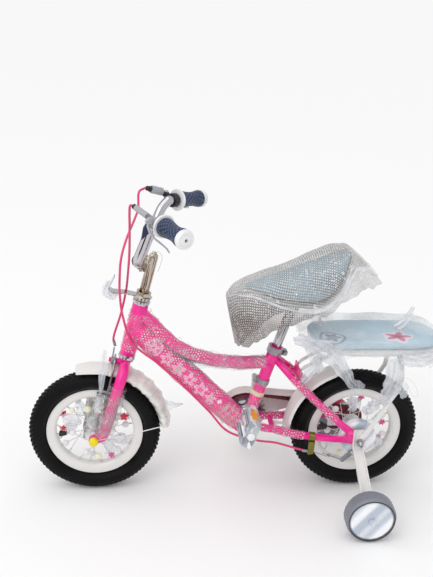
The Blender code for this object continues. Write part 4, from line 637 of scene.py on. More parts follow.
def gold_look():
    """Yellow passivated steel, streaked olive."""
    made = Look("passivated_steel", linear(128, 118, 58), 0.38, 0.9)
    streaks = made.noise(90.0, 4.0, made.scaled((1.0, 1.0, 0.3)))
    made.set("Base Color", made.blend(streaks, linear(92, 84, 40), linear(176, 164, 84)))
    made.bump(streaks, 0.0002, 0.4)
    return made


def chain_look():
    """Oiled chain steel, reddish brown where the oil has caught dust."""
    made = Look("oiled_chain", linear(92, 44, 44), 0.42, 0.75)
    grime = made.noise(240.0)
    made.set("Base Color", made.blend(grime, linear(52, 22, 26), linear(150, 84, 80)))
    made.worn(grime, 0.28, 0.6)
    return made


def rubber_look():
    """Tyre rubber with moulding bloom and a fine side wall grain."""
    colour = chosen("rubber")
    made = Look("tread_rubber", colour, 0.6)
    bloom = made.noise(18.0, 4.0)
    made.tones(bloom, colour, 0.5, 1.5)
    made.worn(bloom, 0.42, 0.62)
    made.set("Specular IOR Level", 0.16)
    made.bump(made.noise(700.0), 0.00012, 0.5)
    return made


def grip_look():
    """Grip rubber with crossed diagonal ribs, the ribs painted lighter and the grooves darker as painted
    light and shade.
    """
    colour = chosen("grip")
    made = Look("grip_rubber", colour, 0.42)
    step = 2 * pi / 0.0094
    ribs = [made.wave(made.around(), (step, lean, 0)) for lean in (step, -step)]
    rib_height_and_painted_light = made.span(made.math("MAXIMUM", *ribs), 0.35, 0.9)
    # Painted light and shade: ribs lighter, grooves darker.
    made.tones(rib_height_and_painted_light, colour, 0.25, 2.6)
    made.bump(rib_height_and_painted_light, 0.0012, 0.8)
    made.bump(made.noise(500.0, 2.0), 0.0001, 0.3)
    return made


def vinyl_look(name, marks=()):
    """Pale blue seat vinyl with pebble grain, and plain printed marks if asked."""
    colour = chosen("vinyl")
    made = Look(name, colour, 0.42)
    grain = made.cells(620.0, "SMOOTH_F1")["Distance"]
    cover = made.blend(made.noise(10.0), shade(colour, 0.86), shade(colour, 1.04))
    for x, y, radius, petals, ink in marks:
        cover = motif(made, cover, metres((x, y)), radius / 1000, petals, linear(*ink))
    made.set("Base Color", cover)
    made.set("Roughness", made.span(grain, 0.0, 0.7, 0.5, 0.36))
    made.bump(grain, 0.0003, 0.5)
    return made


def cable_look():
    """Ribbed pink cable outer."""
    colour = chosen("cable")
    made = Look("cable_outer", colour, 0.36)
    made.tones(made.noise(30.0, 2.0), colour, 0.85, 1.15)
    made.set("Coat Weight", 0.4)
    return made


def plastic_look(name, rgb, roughness):
    """Plain moulded plastic with a soft mottle and grain."""
    colour = linear(*rgb)
    made = Look(name, colour, roughness)
    made.tones(made.noise(40.0), colour, 0.86, 1.1)
    made.bump(made.noise(800.0, 2.0), 0.00008, 0.35)
    return made


def prism_look():
    """Silvered clear plastic, broken into facets painted bright and dark as painted reflections."""
    made = Look("prismatic_plastic", linear(196, 202, 214), 0.22, 0.2)
    facet = made.cells(130.0, "F1", made.scaled((1.0, 0.4, 0.6)))
    # Painted reflection: each facet is painted bright or dark.
    tone = made.add("RGBToBW", {0: facet["Color"]}).outputs["Val"]
    made.set("Base Color", made.blend(tone, linear(96, 104, 122), linear(250, 252, 255)))
    made.bump(facet["Distance"], 0.0008, 0.5)
    return made


def disc_look():
    """Silvered plastic cover with broad slanting bands of painted sheen in its colour."""
    made = Look("silvered_cover", linear(222, 226, 236), 0.28, 0.1)
    # Painted sheen: slanting bands of light painted into the colour.
    bands = [made.wave(made.place, slant) for slant in ((150.0, 0.0, -120.0), (66.0, 0.0, -58.0))]
    painted_sheen = made.span(made.math("ADD", *bands), -0.9, 1.3)
    made.set("Base Color", made.blend(painted_sheen, linear(186, 196, 212), linear(250, 252, 255)))
    made.worn(made.noise(60.0), 0.2, 0.36)
    made.coat(0.6, 0.1)
    return made


def bubble_film_look(name, valley, crown, pitch, cloud, body, swing, sparkle_share, flap=None):
    """Clear film with air bubbles: painted highlights on the blisters' crowns, darker film between them and
    white specks of painted sparkle.

    Below a flap's height, where the film hangs in two layers, it is denser, and its colours are darkened
    there as painted shade."""
    valley, crown = linear(*valley), linear(*crown)
    made = Look(name, valley, 0.26)
    blister = made.blisters(made.around(), bpy.context.scene.bicycle_film.bubble * pitch)
    patch = made.span(made.noise(cloud, 5.0), 0.42, 0.62, *body)
    film = made.math("MULTIPLY", patch, made.span(blister, 0.0, 1.0, *swing))
    # Painted sparkle: white specks of light over the film.
    painted_sparkle = made.span(made.noise(210.0), 0.57, 0.66)
    if flap:
        # Painted shade: below the flap's height the film's colours are darkened, and the film is made denser.
        flap_depth_and_shade = made.span(made.height(), *flap)
        film = made.math("MULTIPLY", film, made.span(flap_depth_and_shade, 0.0, 1.0, 1.0, 1.9))
        valley = made.blend(flap_depth_and_shade, valley, linear(112, 104, 102))
        crown = made.blend(flap_depth_and_shade, crown, linear(198, 190, 188))
    made.set("Alpha", made.math("ADD", film, made.math("MULTIPLY", painted_sparkle, sparkle_share)))
    # The blisters' crowns take the light colour as painted highlights.
    made.set("Base Color", made.blend(painted_sparkle, made.blend(blister, valley, crown), crown))
    made.coat(0.5, 0.1)
    made.bump(blister, 0.0012, 0.8)
    made.bump(made.noise(38.0, 4.0), 0.0016, 0.3)
    return made


def clear_film_look(name, thin, thick, scale, shadow=(216, 222, 230), light=(252, 252, 254)):
    """Thin smooth film in soft veils, painted from a shadow tone to a light tone with them, and whitest along
    its creases.
    """
    made = Look(name, linear(*light), 0.2)
    veil_and_painted_shade = made.noise(scale)
    crease = made.math("ABSOLUTE", made.math("SUBTRACT", made.noise(scale * 1.8, 2.0), 0.5))
    lines = made.span(crease, 0.0, 0.03, 1.0, 0.0)
    body = made.span(veil_and_painted_shade, 0.38, 0.66, thin, thick)
    made.set("Alpha", made.math("ADD", body, made.math("MULTIPLY", lines, 0.08)))
    # Painted shade and light: the veils run from the shadow tone to the light tone.
    made.set("Base Color", made.blend(veil_and_painted_shade, linear(*shadow), linear(*light)))
    made.coat(0.4, 0.08)
    made.bump(veil_and_painted_shade, 0.004, 0.5)
    made.bump(lines, 0.0008, 0.5)
    return made


FINISHES = {
    "paint": [paint_look],
    "white_paint": [white_paint_look],
    "white_plastic": [white_plastic_look],
    "chrome": (chrome_look, "chrome_plate", (206, 206, 210), 0.14),
    "stem": (chrome_look, "hazed_chrome", (204, 192, 176), 0.14),
    "wire": (chrome_look, "bright_wire", (236, 236, 238), 0.35),
    "zinc": [zinc_look],
    "gold": [gold_look],
    "chain": [chain_look],
    "rubber": [rubber_look],
    "grip": [grip_look],
    "vinyl": (vinyl_look, "seat_vinyl"),
    "pad_vinyl": (vinyl_look, "passenger_vinyl", SEAT_MARKS),
    "cable": [cable_look],
    "disc": [disc_look],
    "prism": [prism_look],
    "black": (plastic_look, "black_moulding", (34, 34, 38), 0.45),
    "grey": (plastic_look, "grey_tyre", (128, 132, 142), 0.5),
    "tread": (plastic_look, "pedal_tread", (172, 174, 186), 0.4),
    "orange": (plastic_look, "orange_reflector", (232, 148, 30), 0.15),
    "yellow": (plastic_look, "yellow_cap", (240, 218, 22), 0.35),
    "red": (plastic_look, "red_bead", (222, 34, 62), 0.3),
    "pink": (plastic_look, "pink_bead", (240, 90, 160), 0.3),
    "cream": (plastic_look, "cream_bead", (244, 242, 214), 0.3),
    "pearl": (plastic_look, "white_bead", (238, 238, 240), 0.3),
    "strap": (plastic_look, "cream_strap", (232, 214, 182), 0.4),
    "silver": (plastic_look, "silver_lever", (168, 170, 176), 0.3),
    "navy": (plastic_look, "navy_moulding", (30, 42, 78), 0.45),
    # The seat film's last pair gives the heights where its painted shade on the flap begins.
    "seat_film": (bubble_film_look, "seat_bubble_film", (142, 138, 136), (254, 254, 255), 1.0, 14.0,
                  (0.27, 0.41), (0.7, 2.45), 0.18, (0.49, 0.45)),
    "bag_film": (bubble_film_look, "fork_bubble_film", (150, 146, 142), (250, 250, 250), 1.0, 20.0,
                 (0.05, 0.2), (0.6, 2.4), 0.25),
    "tube_film": (bubble_film_look, "tube_bubble_film", (252, 70, 156), (255, 250, 253), 1.15, 30.0,
                  (0.05, 0.32), (0.25, 2.9), 0.45),
    "clear_film": (clear_film_look, "clear_film", 0.08, 0.46, 8.0),
    "fold_film": (clear_film_look, "folded_film", 0.4, 0.7, 40.0),
    "knot_film": (clear_film_look, "gathered_film", 0.26, 0.7, 16.0),
    "white_film": (clear_film_look, "white_foam_film", 0.62, 0.95, 26.0, (232, 230, 224), (255, 255, 252)),
    "pad_film": (clear_film_look, "passenger_film", 0.1, 0.38, 11.0),
    "sheath_film": (clear_film_look, "outer_film", 0.0, 0.1, 15.0),
    # A dark grey film standing in for shade on the far fork leg: painted shade.
    "painted_shade_film": (clear_film_look, "shaded_film", 0.3, 0.8, 22.0, (104, 106, 100), (196, 198, 190)),
}


# Wheels

# Hub outlines in mm; beads as side, spoke, share of the way out, kind, size in mm and finish;
# film scraps as degrees, then inner and outer reach, width and offset in mm.
WHEELS = {
    "front": {
        "centre": FRONT_AXLE, "flange": 0.028, "reflector": (1, 5, 0.86),
        "shell": ((5.3, 43), (8.5, 43), (10.5, 30), (21.5, 29.2), (21.5, 26.8), (12, 25), (12, -25),
                  (21.5, -26.8), (21.5, -29.2), (10.5, -30), (8.5, -43), (5.3, -43)),
        "beads": (
            (1, 4, 0.93, "star", 12, "red"), (-1, 5, 0.81, "star", 8.5, "red"),
            (-1, 4, 0.84, "ball", 7.2, "cream"), (-1, 1, 0.86, "star", 12, "red"),
            (1, 8, 0.93, "flower", 9.2, "pink"), (1, 9, 0.93, "ball", 7.8, "cream"),
            (-1, 9, 0.8, "ball", 7, "pearl"), (-1, 8, 0.75, "ball", 8.5, "cream"),
            (1, 3, 0.9, "ball", 7, "pearl"), (-1, 6, 0.84, "ball", 7.5, "pearl"),
            (1, 7, 0.8, "ball", 7, "pearl"), (1, 0, 0.78, "ball", 8, "pearl"),
            (-1, 2, 0.8, "flower", 9, "pearl"), (-1, 3, 0.66, "ball", 8.5, "cream"),
            (1, 5, 0.62, "flower", 8.5, "pearl"), (-1, 0, 0.7, "flower", 9.5, "pearl"),
            (1, 1, 0.66, "ball", 8, "pearl"), (-1, 7, 0.6, "ball", 8.5, "pearl"),
            (1, 2, 0.58, "flower", 8.5, "cream"), (-1, 5, 0.52, "ball", 7.5, "pearl")),
        "film": (
            (120, 52, 84, 12, -10), (152, 40, 80, 15, -8), (184, 45, 82, 13, 8), (-22, 40, 82, 15, -9),
            (-62, 35, 80, 12, 6), (24, 50, 84, 10, 8), (88, 30, 82, 11, 9))},
    "rear": {
        "centre": REAR_AXLE, "flange": 0.024, "reflector": (-1, 5, 0.84),
        "shell": ((5.3, -53), (8.5, -53), (8.5, -46), (35, -45.5), (35, -30), (21.5, -25.2),
                  (21.5, -22.8), (13, -21.2), (13, 21.2), (21.5, 22.8), (21.5, 25.2), (15, 26),
                  (15, 50.5), (8.5, 53), (5.3, 53)),
        "beads": (
            (1, 3, 0.9, "star", 11, "red"), (-1, 3, 0.85, "star", 12, "red"),
            (1, 2, 0.9, "star", 9.5, "pink"), (1, 4, 0.9, "star", 11, "red"),
            (-1, 1, 0.84, "ball", 8.5, "cream"), (1, 0, 0.8, "flower", 9.5, "pink"),
            (-1, 0, 0.8, "ball", 7.5, "pearl"), (-1, 2, 0.62, "ball", 8, "pearl"),
            (-1, 4, 0.8, "ball", 8, "pearl"), (1, 6, 0.8, "ball", 8, "pearl"),
            (-1, 7, 0.8, "ball", 8, "cream"), (-1, 9, 0.74, "flower", 9, "pearl"),
            (1, 9, 0.84, "star", 8, "pink"), (-1, 8, 0.66, "ball", 8, "pearl"),
            (1, 5, 0.66, "ball", 8, "pearl"), (-1, 6, 0.62, "flower", 8.5, "cream"),
            (1, 7, 0.6, "ball", 7.5, "pearl")),
        "film": (
            (60, 45, 84, 15, -8), (100, 50, 84, 14, -10), (20, 50, 82, 12, 8), (-35, 45, 82, 14, -8),
            (-80, 45, 84, 13, 8), (150, 50, 82, 12, -8))},
}
RIM_HALF = ((89, 0), (89, 8.5), (93, 12.5), (97.5, 14.1), (109.5, 14.5), (111.2, 13.8), (111, 12.1),
            (108, 11.7), (94, 10))
# Tread rows off the middle: offset, lean in degrees, length and width of a block, share of a step.
TREAD = ((0.008, -24, 0.0058, 0.0036, 0.5), (0.0158, -8, 0.0048, 0.0046, 0), (0.0212, 0, 0.005, 0.004, 0.5))


def tyre(end, wheel):
    """A blown up carcass with side wall ridges, and rows of tread blocks spun round it."""
    sizes = bpy.context.scene.bicycle_wheels
    centre = wheel["centre"]
    low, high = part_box(f"{end}_tyre")
    half = (high.y - low.y) / 2
    bulge = (high.z - low.z) / 2 - sizes.knob_height - CARCASS_R
    profile = []
    for i in range(37):
        angle = radians(-68 + 316 * i / 36)
        r, y = bulge + CARCASS_R * sin(angle), (half - WALL_RISE) * cos(angle)
        ridged = min(abs(r - 0.1216), abs(r - 0.1248)) < 0.0012
        profile.append((r, y + copysign(WALL_RISE, y) if ridged else y))
    profile += [(0.112, -0.0112), (0.1, -0.0098), (0.1, 0.0098), (0.112, 0.0112)]
    carcass = turned(profile, centre, Y_AXIS, 112)
    step = 2 * pi / sizes.knobs
    table = [(0, 0, 0.005, 0.0034, 0)]
    table += [(sign * y, sign * lean, *rest) for y, lean, *rest in TREAD for sign in (-1, 1)]
    rows = [knob_row(centre, y, lean, long, wide, shift * step, bulge, half, sizes)
            for y, lean, long, wide, shift in table]
    settle(joined(carcass, *rows), f"{end}_tread_tyre", "rubber", f"{end}_wheel",
           [f"{end}_tyre"], 30)


def knob_row(centre, y, lean, long, wide, start, bulge, half, sizes):
    """One tread block, eased and tilted to the carcass, then spun round the wheel."""
    slope = asin(min(0.999, y / (half - WALL_RISE)))
    surface = bulge + CARCASS_R * cos(slope)
    deselect()
    bpy.ops.mesh.primitive_cube_add(size=1.0)
    block = bpy.context.object
    edit(block)
    bpy.ops.transform.resize(value=(long, wide, 0.004))
    bpy.ops.mesh.bevel(offset=0.0005, segments=1, affect="EDGES")
    done(block)
    block.data.transform(Matrix.Rotation(radians(lean), 4, "Z"))
    block.data.transform(Matrix.Rotation(-slope * 0.9, 4, "X"))
    block.data.transform(Matrix.Translation(centre + Vector((0, y, surface - 0.002 + sizes.knob_height))))
    block.data.transform(Matrix.Translation(centre) @ Matrix.Rotation(start, 4, "Y")
                         @ Matrix.Translation(-centre))
    edit(block)
    turn = 2 * pi * (sizes.knobs - 1) / sizes.knobs
    bpy.ops.mesh.spin(steps=sizes.knobs - 1, dupli=True, angle=turn, center=centre, axis=Y_AXIS)
    return done(block)


def rim(end, wheel):
    """A rolled rim with rounded flanges."""
    section = [metres(pair) for pair in RIM_HALF]
    section += [(r, -y) for r, y in reversed(section[1:])]
    piece = turned(rounded(section, 0.0012, 3), wheel["centre"], Y_AXIS, 112)
    settle(piece, f"{end}_rolled_rim", "white_paint", f"{end}_wheel", [f"{end}_rim"], 40)


def spoke_ends(wheel, side, index):
    """Where a spoke leaves its hub flange and where it meets the rim."""
    rim_angle = 2 * pi * (index + 0.25 * side) / SPOKES_PER_SIDE
    hand = 1 if index % 2 else -1
    flange = side * (wheel["flange"] + hand * SPOKE_STAGGER)
    return [wheel["centre"] + Vector((cos(angle) * r, y, sin(angle) * r))
            for angle, r, y in ((rim_angle + hand * SPOKE_LEAD, SPOKE_HUB_R, flange),
                                (rim_angle, SPOKE_RIM_R, side * 0.003))]


def rod(start, end, radius, sides=12, ease=0.0):
    """A cylinder between two places, its rims eased if asked."""
    deselect()
    span = end - start
    bpy.ops.mesh.primitive_cylinder_add(vertices=sides, radius=radius, depth=span.length)
    obj = bpy.context.object
    if ease:
        bevelled(obj, ease, 2, 40)
    turn = span.to_track_quat("Z", "Y").to_matrix().to_4x4()
    obj.data.transform(Matrix.Translation((start + end) / 2) @ turn)
    return obj


def hub(end, wheel):
    """The turned hub shell with its spokes and their nipples."""
    spoke = bpy.context.scene.bicycle_wheels.spoke
    shell = [metres(pair) for pair in wheel["shell"]]
    parts = [turned(rounded(shell, 0.0008, 2), wheel["centre"], Y_AXIS, 40)]
    for side in (-1, 1):
        for index in range(SPOKES_PER_SIDE):
            start, tip = spoke_ends(wheel, side, index)
            along = (tip - start).normalized()
            parts.append(rod(start, tip, spoke, 8))
            parts.append(rod(tip - along * 0.0085, tip + along * 0.0006, 0.002, 8, 0.0004))
            parts.append(rod(start - Y_AXIS * 0.0022, start + Y_AXIS * 0.0022, 0.0015, 8, 0.0003))
    settle(joined(*parts), f"{end}_spoked_hub", "wire", f"{end}_wheel", [f"{end}_hub"], 35)


def star(points, size, thick):
    """A flat star outline pulled into a bead, lying in the XZ plane at the origin."""
    corners = []
    for i in range(points * 2):
        reach = size * 0.48 if i % 2 else size
        angle = pi * i / points
        corners.append((sin(angle) * reach, -thick / 2, cos(angle) * reach))
    return bevelled(pulled(corners, (0, thick, 0)), thick * 0.22)


def bead(kind, size):
    if kind == "star":
        return star(5, size, 0.0052)
    if kind == "flower":
        return modify(star(6, size, 0.006), "SUBSURF", levels=2, render_levels=2)
    deselect()
    bpy.ops.mesh.primitive_uv_sphere_add(segments=20, ring_count=12, radius=size)
    ball = bpy.context.object
    edit(ball)
    bpy.ops.transform.resize(value=(1.0, 0.72, 1.0))
    return done(ball)


def beads(end, wheel):
    """Clip-on beads, each on its spoke."""
    for number, (side, index, share, kind, size, finish) in enumerate(wheel["beads"], 1):
        start, tip = spoke_ends(wheel, side, index)
        obj = bead(kind, size / 1000)
        obj.data.transform(Matrix.Rotation(radians(number * 37), 4, "Y"))
        obj.data.transform(Matrix.Translation(start.lerp(tip, share)))
        settle(obj, f"{end}_bead_{number}", finish, f"{end}_wheel", smooth=40)


def wheel_film(end, wheel):
    """Scraps of wrapping still caught between the spokes."""
    for number, (degrees, *sizes) in enumerate(wheel["film"], 1):
        inner, outer, width, y = metres(sizes)
        points = []
        for step in range(4):
            reach = inner + (outer - inner) * step / 3
            bend = radians(degrees) + 0.1 * sin(step * 1.9 + number)
            points.append(wheel["centre"] + Vector((cos(bend) * reach, y, sin(bend) * reach)))
        ribbon(f"{end}_wheel_film_{number}", points, (width * 0.6, width, width * 0.8), f"{end}_wheel",
               2.0, 0.002)


def spoke_reflector(end, wheel):
    """A dark clip-on reflector laid along a spoke, with its wire hook."""
    side, index, share = wheel["reflector"]
    start, tip = spoke_ends(wheel, side, index)
    along = (tip - start).normalized()
    middle = start.lerp(tip, share)
    across = along.cross(Y_AXIS).normalized()
    corners = [middle + along * a + across * b - Y_AXIS * 0.004
               for a, b in ((-0.009, -0.0052), (0.009, -0.0066), (0.009, 0.0066), (-0.009, 0.0052))]
    plate = bevelled(pulled(corners, Y_AXIS * 0.008), 0.0012)
    route = [middle + across * a + along * b
             for a, b in ((0.0066, 0), (0.012, 0.005), (0.01, 0.012), (0.003, 0.015))]
    hook = swept(catmull(route, 6), 0.0007, 6)
    settle(joined(plate, hook), f"{end}_spoke_reflector", "black", f"{end}_wheel", smooth=35)


class BICYCLE_OT_wheels(bpy.types.Operator):
    """Model both wheels: tyres with tread, rims, spoked hubs and the beads on the spokes"""

    bl_idname = "bicycle.wheels"
    bl_label = "Wheels"

    def execute(self, context):
        for make in (tyre, rim, hub, beads, wheel_film, spoke_reflector):
            for end, wheel in WHEELS.items():
                make(end, wheel)
        return {"FINISHED"}


# Film and wire


def part_way(values, share):
    """A value, or a row of values, part way along a list of them."""
    spot = share * (len(values) - 1)
    low = min(int(spot), len(values) - 2)
    first, second = Vector(values[low]), Vector(values[low + 1])
    return first.lerp(second, spot - low)


def sleeve(name, points, halves, body, up=None, sides=36, finish="tube_film", crumple=1.0):
    """A loose tube of film, open at both ends, crimped where it bunches."""
    gap = bpy.context.scene.bicycle_film.sleeve
    path = catmull(points, 10)
    rings = []
    for i, (point, side, lift) in enumerate(path_frames(path, up)):
        share = i / (len(path) - 1)
        wide, tall = part_way(halves, share)
        bunch = gap * (1.0 + 0.45 * crumple * sin(share * 61) * sin(share * 23 + 1))
        ring = []
        for j in range(sides):
            angle = 2 * pi * j / sides
            loose = max(bunch * (1 + 0.5 * crumple * sin(3 * angle + share * 40)), gap * 0.3)
            ring.append(point + side * (wide + loose) * cos(angle) + lift * (tall + loose) * sin(angle))
        rings.append(ring)
    film = skin(rings, caps=False)
    modify(film, "SOLIDIFY", thickness=FILM_THICK, offset=1.0)
    settle(film, name, finish, body, smooth=60)


def ribbon(name, points, widths, body, pleats, depth, finish="knot_film"):
    """A strip of film gathered into lengthwise pleats, as where a wrapping is tied or hangs loose."""
    path = catmull(points, 8)
    rows = []
    for i, point in enumerate(path):
        along = (path[min(i + 1, len(path) - 1)] - path[max(i - 1, 0)]).normalized()
        across = along.cross(Y_AXIS).normalized()
        width = part_way([(w, 0) for w in widths], i / (len(path) - 1)).x
        row = []
        for j in range(31):
            t = j / 15 - 1
            fold = sin(pleats * pi * t + i * 0.35) + 0.7 * sin(pleats * 1.9 * t + 1.7 - i * 0.2)
            edge = 1 + 0.12 * sin(i * 0.9 + t * 2)
            row.append(point + across * width * t * edge + Y_AXIS * fold * depth)
        rows.append(row)
    film = skin(rows, caps=False, closed=False)
    modify(film, "SOLIDIFY", thickness=FILM_THICK, offset=0.0)
    settle(film, name, finish, body, smooth=60)


def wire_loop(name, rows, radius, body):
    settle(swept(catmull(places(rows), 6), radius, 8), name, "pearl", body)


# Painted frame

# Tube routes in mm from the rear axle's foot; fork and head routes are along the steering axis.
TOP_TUBE = ((-500, 0, 448), (-484, 0, 425.5), (-460, 0, 397), (-432, 0, 370), (-395, 0, 348.5),
            (-345, 0, 332.5), (-285, 0, 325), (-222, 0, 327.5))
WEB_FOOT = ((-466, 0, 384), (-440, 0, 358), (-412, 0, 341), (-380, 0, 329), (-345, 0, 318))
CHAIN_STAY = ((-226, 26.5, 170), (-196, 31.5, 166.5), (-160, 42.5, 162), (-128, 47.2, 158.8))
SEAT_STAY = ((-166, 30, 303.5), (-134, 38.5, 273.5), (-102, 47, 244), (-58, 54.8, 203.5))
FORK_LEG = ((-94, 5, 44), (-140, 6.2, 44.4), (-186, 7.2, 44.8))
FORK_BAG = ((-64, 4.4, 44), (-100, 5.2, 44.2), (-150, 6.4, 44.6), (-196, 7, 45))


class BICYCLE_OT_frame(bpy.types.Operator):
    """Finish the painted frame and fork and slip the bubble film over their tubes"""

    bl_idname = "bicycle.frame"
    bl_label = "Frame and fork"

    def execute(self, context):
        finish_node("frame", "painted_frame", "paint", 38)
        finish_node("fork", "painted_fork", "paint", 38)
        start, end = DOWN_TUBE
        across = Y_AXIS.cross(end - start)
        shares = (0.015, 0.08, 0.3, 0.6, 0.85, 0.95)
        depths = (0.8, 0.915, 1.0, 1.03, 0.98, 0.88)
        sleeve("down_tube_film", [start.lerp(end, s) for s in shares],
               [(0.018, 0.028 * d) for d in depths], "frame", across)
        top = rear_places(TOP_TUBE)
        sleeve("top_tube_film", top, [(0.0148, 0.0148)] * 2, "frame")
        sleeve("top_tube_sheath", top[3:], [(0.018, 0.018)] * 2, "frame", finish="sheath_film", crumple=1.6)
        self.web(catmull(rear_places(WEB_FOOT), 6),
                 catmull([start.lerp(end, s) + across.normalized() * -0.026
                          for s in (0.13, 0.22, 0.31, 0.39, 0.45)], 6))
        sleeve("head_tube_film", [steer(up) for up in (0.01, 0.06, 0.105)], [(0.018, 0.018)] * 2, "frame")
        foot, head = BRACKET + SEAT_UP * 0.03, BRACKET + SEAT_UP * 0.118
        sleeve("seat_tube_film", [foot, foot.lerp(head, 0.5), head], [(0.0135, 0.0135)] * 2, "frame")
        for side, sign in SIDES:
            sleeve(f"chain_stay_film_{side}", rear_places(CHAIN_STAY, sign), [(0.0088, 0.0088)] * 2,
                   "frame", sides=24)
            sleeve(f"seat_stay_film_{side}", rear_places(SEAT_STAY, sign), [(0.0082, 0.0082)] * 2,
                   "frame", sides=24)
            sleeve(f"fork_leg_film_{side}", steer_places(FORK_LEG, sign),
                   [(0.0125, 0.0125), (0.0122, 0.0125)], "steering", STEER_FORE)
            sleeve(f"fork_leg_bag_{side}", steer_places(FORK_BAG, sign),
                   [(0.0125, 0.017), (0.0128, 0.0215), (0.0128, 0.018)], "steering", STEER_FORE,
                   finish="bag_film", crumple=1.8)
        band = [(0.0136, -0.0055), (0.016, -0.005), (0.016, 0.005), (0.0136, 0.0055)]
        strap = turned(rounded(band, 0.0008, 2), BRACKET + SEAT_UP * 0.0795, SEAT_UP, 40)
        settle(strap, "seat_tube_strap", "strap", "frame")
        return {"FINISHED"}

    def web(self, under, over):
        """The film stretched between the top tube and the down tube, one sheet on each side."""
        for side, sign in SIDES:
            rows = [[a.lerp(b, j / 12) + Y_AXIS * (sign * 0.0125 + 0.0012 * sin(i * 0.7 + j))
                     for j in range(13)] for i, (a, b) in enumerate(zip(under, over))]
            web = modify(skin(rows, caps=False, closed=False), "SOLIDIFY", thickness=FILM_THICK)
            settle(web, f"frame_film_web_{side}", "clear_film", "frame", smooth=60)


# Seats


def section_ring(stations, share):
    """Values in metres between two stations of a table, smoothly joined."""
    spot = share * (len(stations) - 1)
    low = min(int(spot), len(stations) - 2)
    rows = [metres(stations[min(max(low + i, 0), len(stations) - 1)]) for i in (-1, 0, 1, 2)]
    return [spline(*column, spot - low) for column in zip(*rows)]


# In mm, each row is half a width, then the foot (x, z) and the top (x, z) of the saddle there.
SADDLE_STATIONS = (
    (15, -272, 506, -274, 521), (30, -243, 497, -246, 529), (45, -212, 489, -215, 534),
    (58, -185, 487, -189, 539), (68, -157, 486, -163, 547), (72, -131, 488, -140, 556),
    (72, -108, 495, -121, 563), (67, -86, 514, -104, 571), (57, -67, 546, -87, 580),
    (45, -55, 572, -72, 589), (30, -46, 590, -58, 596))
# In mm, each row of a hood is its crown (x, z), its fold and its hem, these two as (x, z, half width).
SADDLE_HOOD = (
    (-316, 497, -318, 489, 16, -291, 388, 30), (-300, 511, -298, 505, 36, -276, 385, 42),
    (-272, 529, -270, 508, 50, -258, 397, 54), (-240, 543, -240, 501, 60, -238, 416, 60),
    (-203, 557, -207, 491, 68, -210, 436, 66), (-160, 576, -168, 484, 76, -172, 456, 72),
    (-122, 596, -130, 486, 81, -132, 470, 76), (-92, 607, -100, 500, 83, -102, 480, 78),
    (-70, 609, -78, 526, 80, -74, 503, 78), (-52, 606, -64, 560, 73, -48, 522, 74),
    (-36, 594, -48, 578, 64, -26, 531, 69), (-14, 574, -24, 568, 55, -4, 538, 61),
    (9, 552, 3, 555, 44, 14, 537, 52))
PAD_HOOD = (
    (-154, 412, -154, 406, 20, -152, 394, 22), (-142, 423, -142, 413, 52, -142, 385, 50),
    (-105, 426.2, -105, 414, 78, -105, 378, 74), (-60, 425, -60, 412, 83, -58, 380, 79),
    (0, 425, 0, 412, 84, 2, 374, 80), (60, 424.5, 60, 411, 84, 60, 371, 80),
    (120, 424, 120, 410, 80, 120, 356, 73), (152, 421, 152, 406, 66, 152, 347, 56),
    (171, 411, 171, 400, 46, 171, 352, 36), (180, 401, 180, 395, 26, 180, 364, 20))
# In mm, each row is a place along the passenger seat, half its width there and its lift.
PAD_STATIONS = (
    (-125, 30, 13), (-119, 48, 10.5), (-108, 61, 6.5), (-88, 70, 2), (-60, 74.5, 0), (20, 75, 0),
    (100, 74.5, 0), (130, 70, 0), (150, 59, 0), (161, 44, 0), (166, 28, 0))
# Each film end: name, pleats, route in mm and half widths in mm.
PAD_FILM = (
    ("tie_long", 3, ((141.1, -82, 418), (187.1, -84, 395.1), (229.2, -66, 348.2), (260, -52, 302.4),
    (286.8, -50, 278.9)), (12, 21, 17, 11, 17)),
    ("tie_short", 2, ((150, -80, 405), (187.3, -60, 330.7)), (12, 9)),
    ("strut", 2, ((192.9, -40, 365.8), (175, -34, 328), (150.1, -34, 289.6)), (10, 14, 8)),
    ("leg_knot", 3.5, ((344.8, -80, 372.9), (350, -78, 324.2), (345.2, -74, 286), (329, -72, 260)),
    (14, 22, 20, 7)),
    ("leg_flap", 2, ((356, -79, 312), (375, -80, 296), (377, -76, 272)), (12, 12, 6)),
    ("ear", 2, ((360, -30, 424), (375, -30, 442), (390, -30, 476.8)), (12, 10, 4)),
    ("rear_lump", 3, ((360, -84, 376), (400, -82, 370), (436, -70, 372), (456, -45, 378)),
    (14, 18, 16, 10)),
    ("front_lump", 2, ((123, -50, 402), (142, -62, 408), (164, -72, 406)), (10, 16, 12)),
    ("front_spike", 1, ((179, -20, 423), (184, -20, 436), (185, -20, 447)), (6, 4, 1)))
PAD_TIE = ((370, -73, 318), (382, -73, 310), (401, -73, 276), (413, -73, 280), (399, -73, 310),
           (379, -73, 323))


def saddle_ring(share, outline):
    """A cross ring of the saddle at a share of its length; outline gives (across, up) pairs."""
    half, base_x, base_z, top_x, top_z = section_ring(SADDLE_STATIONS, share)
    base, top = from_rear(base_x, 0, base_z), from_rear(top_x, 0, top_z)
    up = (top - base).normalized()
    return [base + Y_AXIS * y + up * h for y, h in outline(half, (top - base).length)]


def capped(rings, steps=3):
    """Closes both ends of a row of rings with smaller rings, so that the ends round over."""
    out = list(rings)
    for end, inner in ((0, 1), (-1, -2)):
        ring = rings[end]
        middle = sum(ring, Vector()) / len(ring)
        push = (middle - sum(rings[inner], Vector()) / len(ring)).normalized()
        extra = []
        for step in range(1, steps + 1):
            angle = pi / 2 * step / steps
            shrink = cos(angle) * 0.999 + 0.001
            extra.append([middle + push * 0.008 * sin(angle) + (p - middle) * shrink for p in ring])
        out = out + extra if end else extra[::-1] + out
    return out


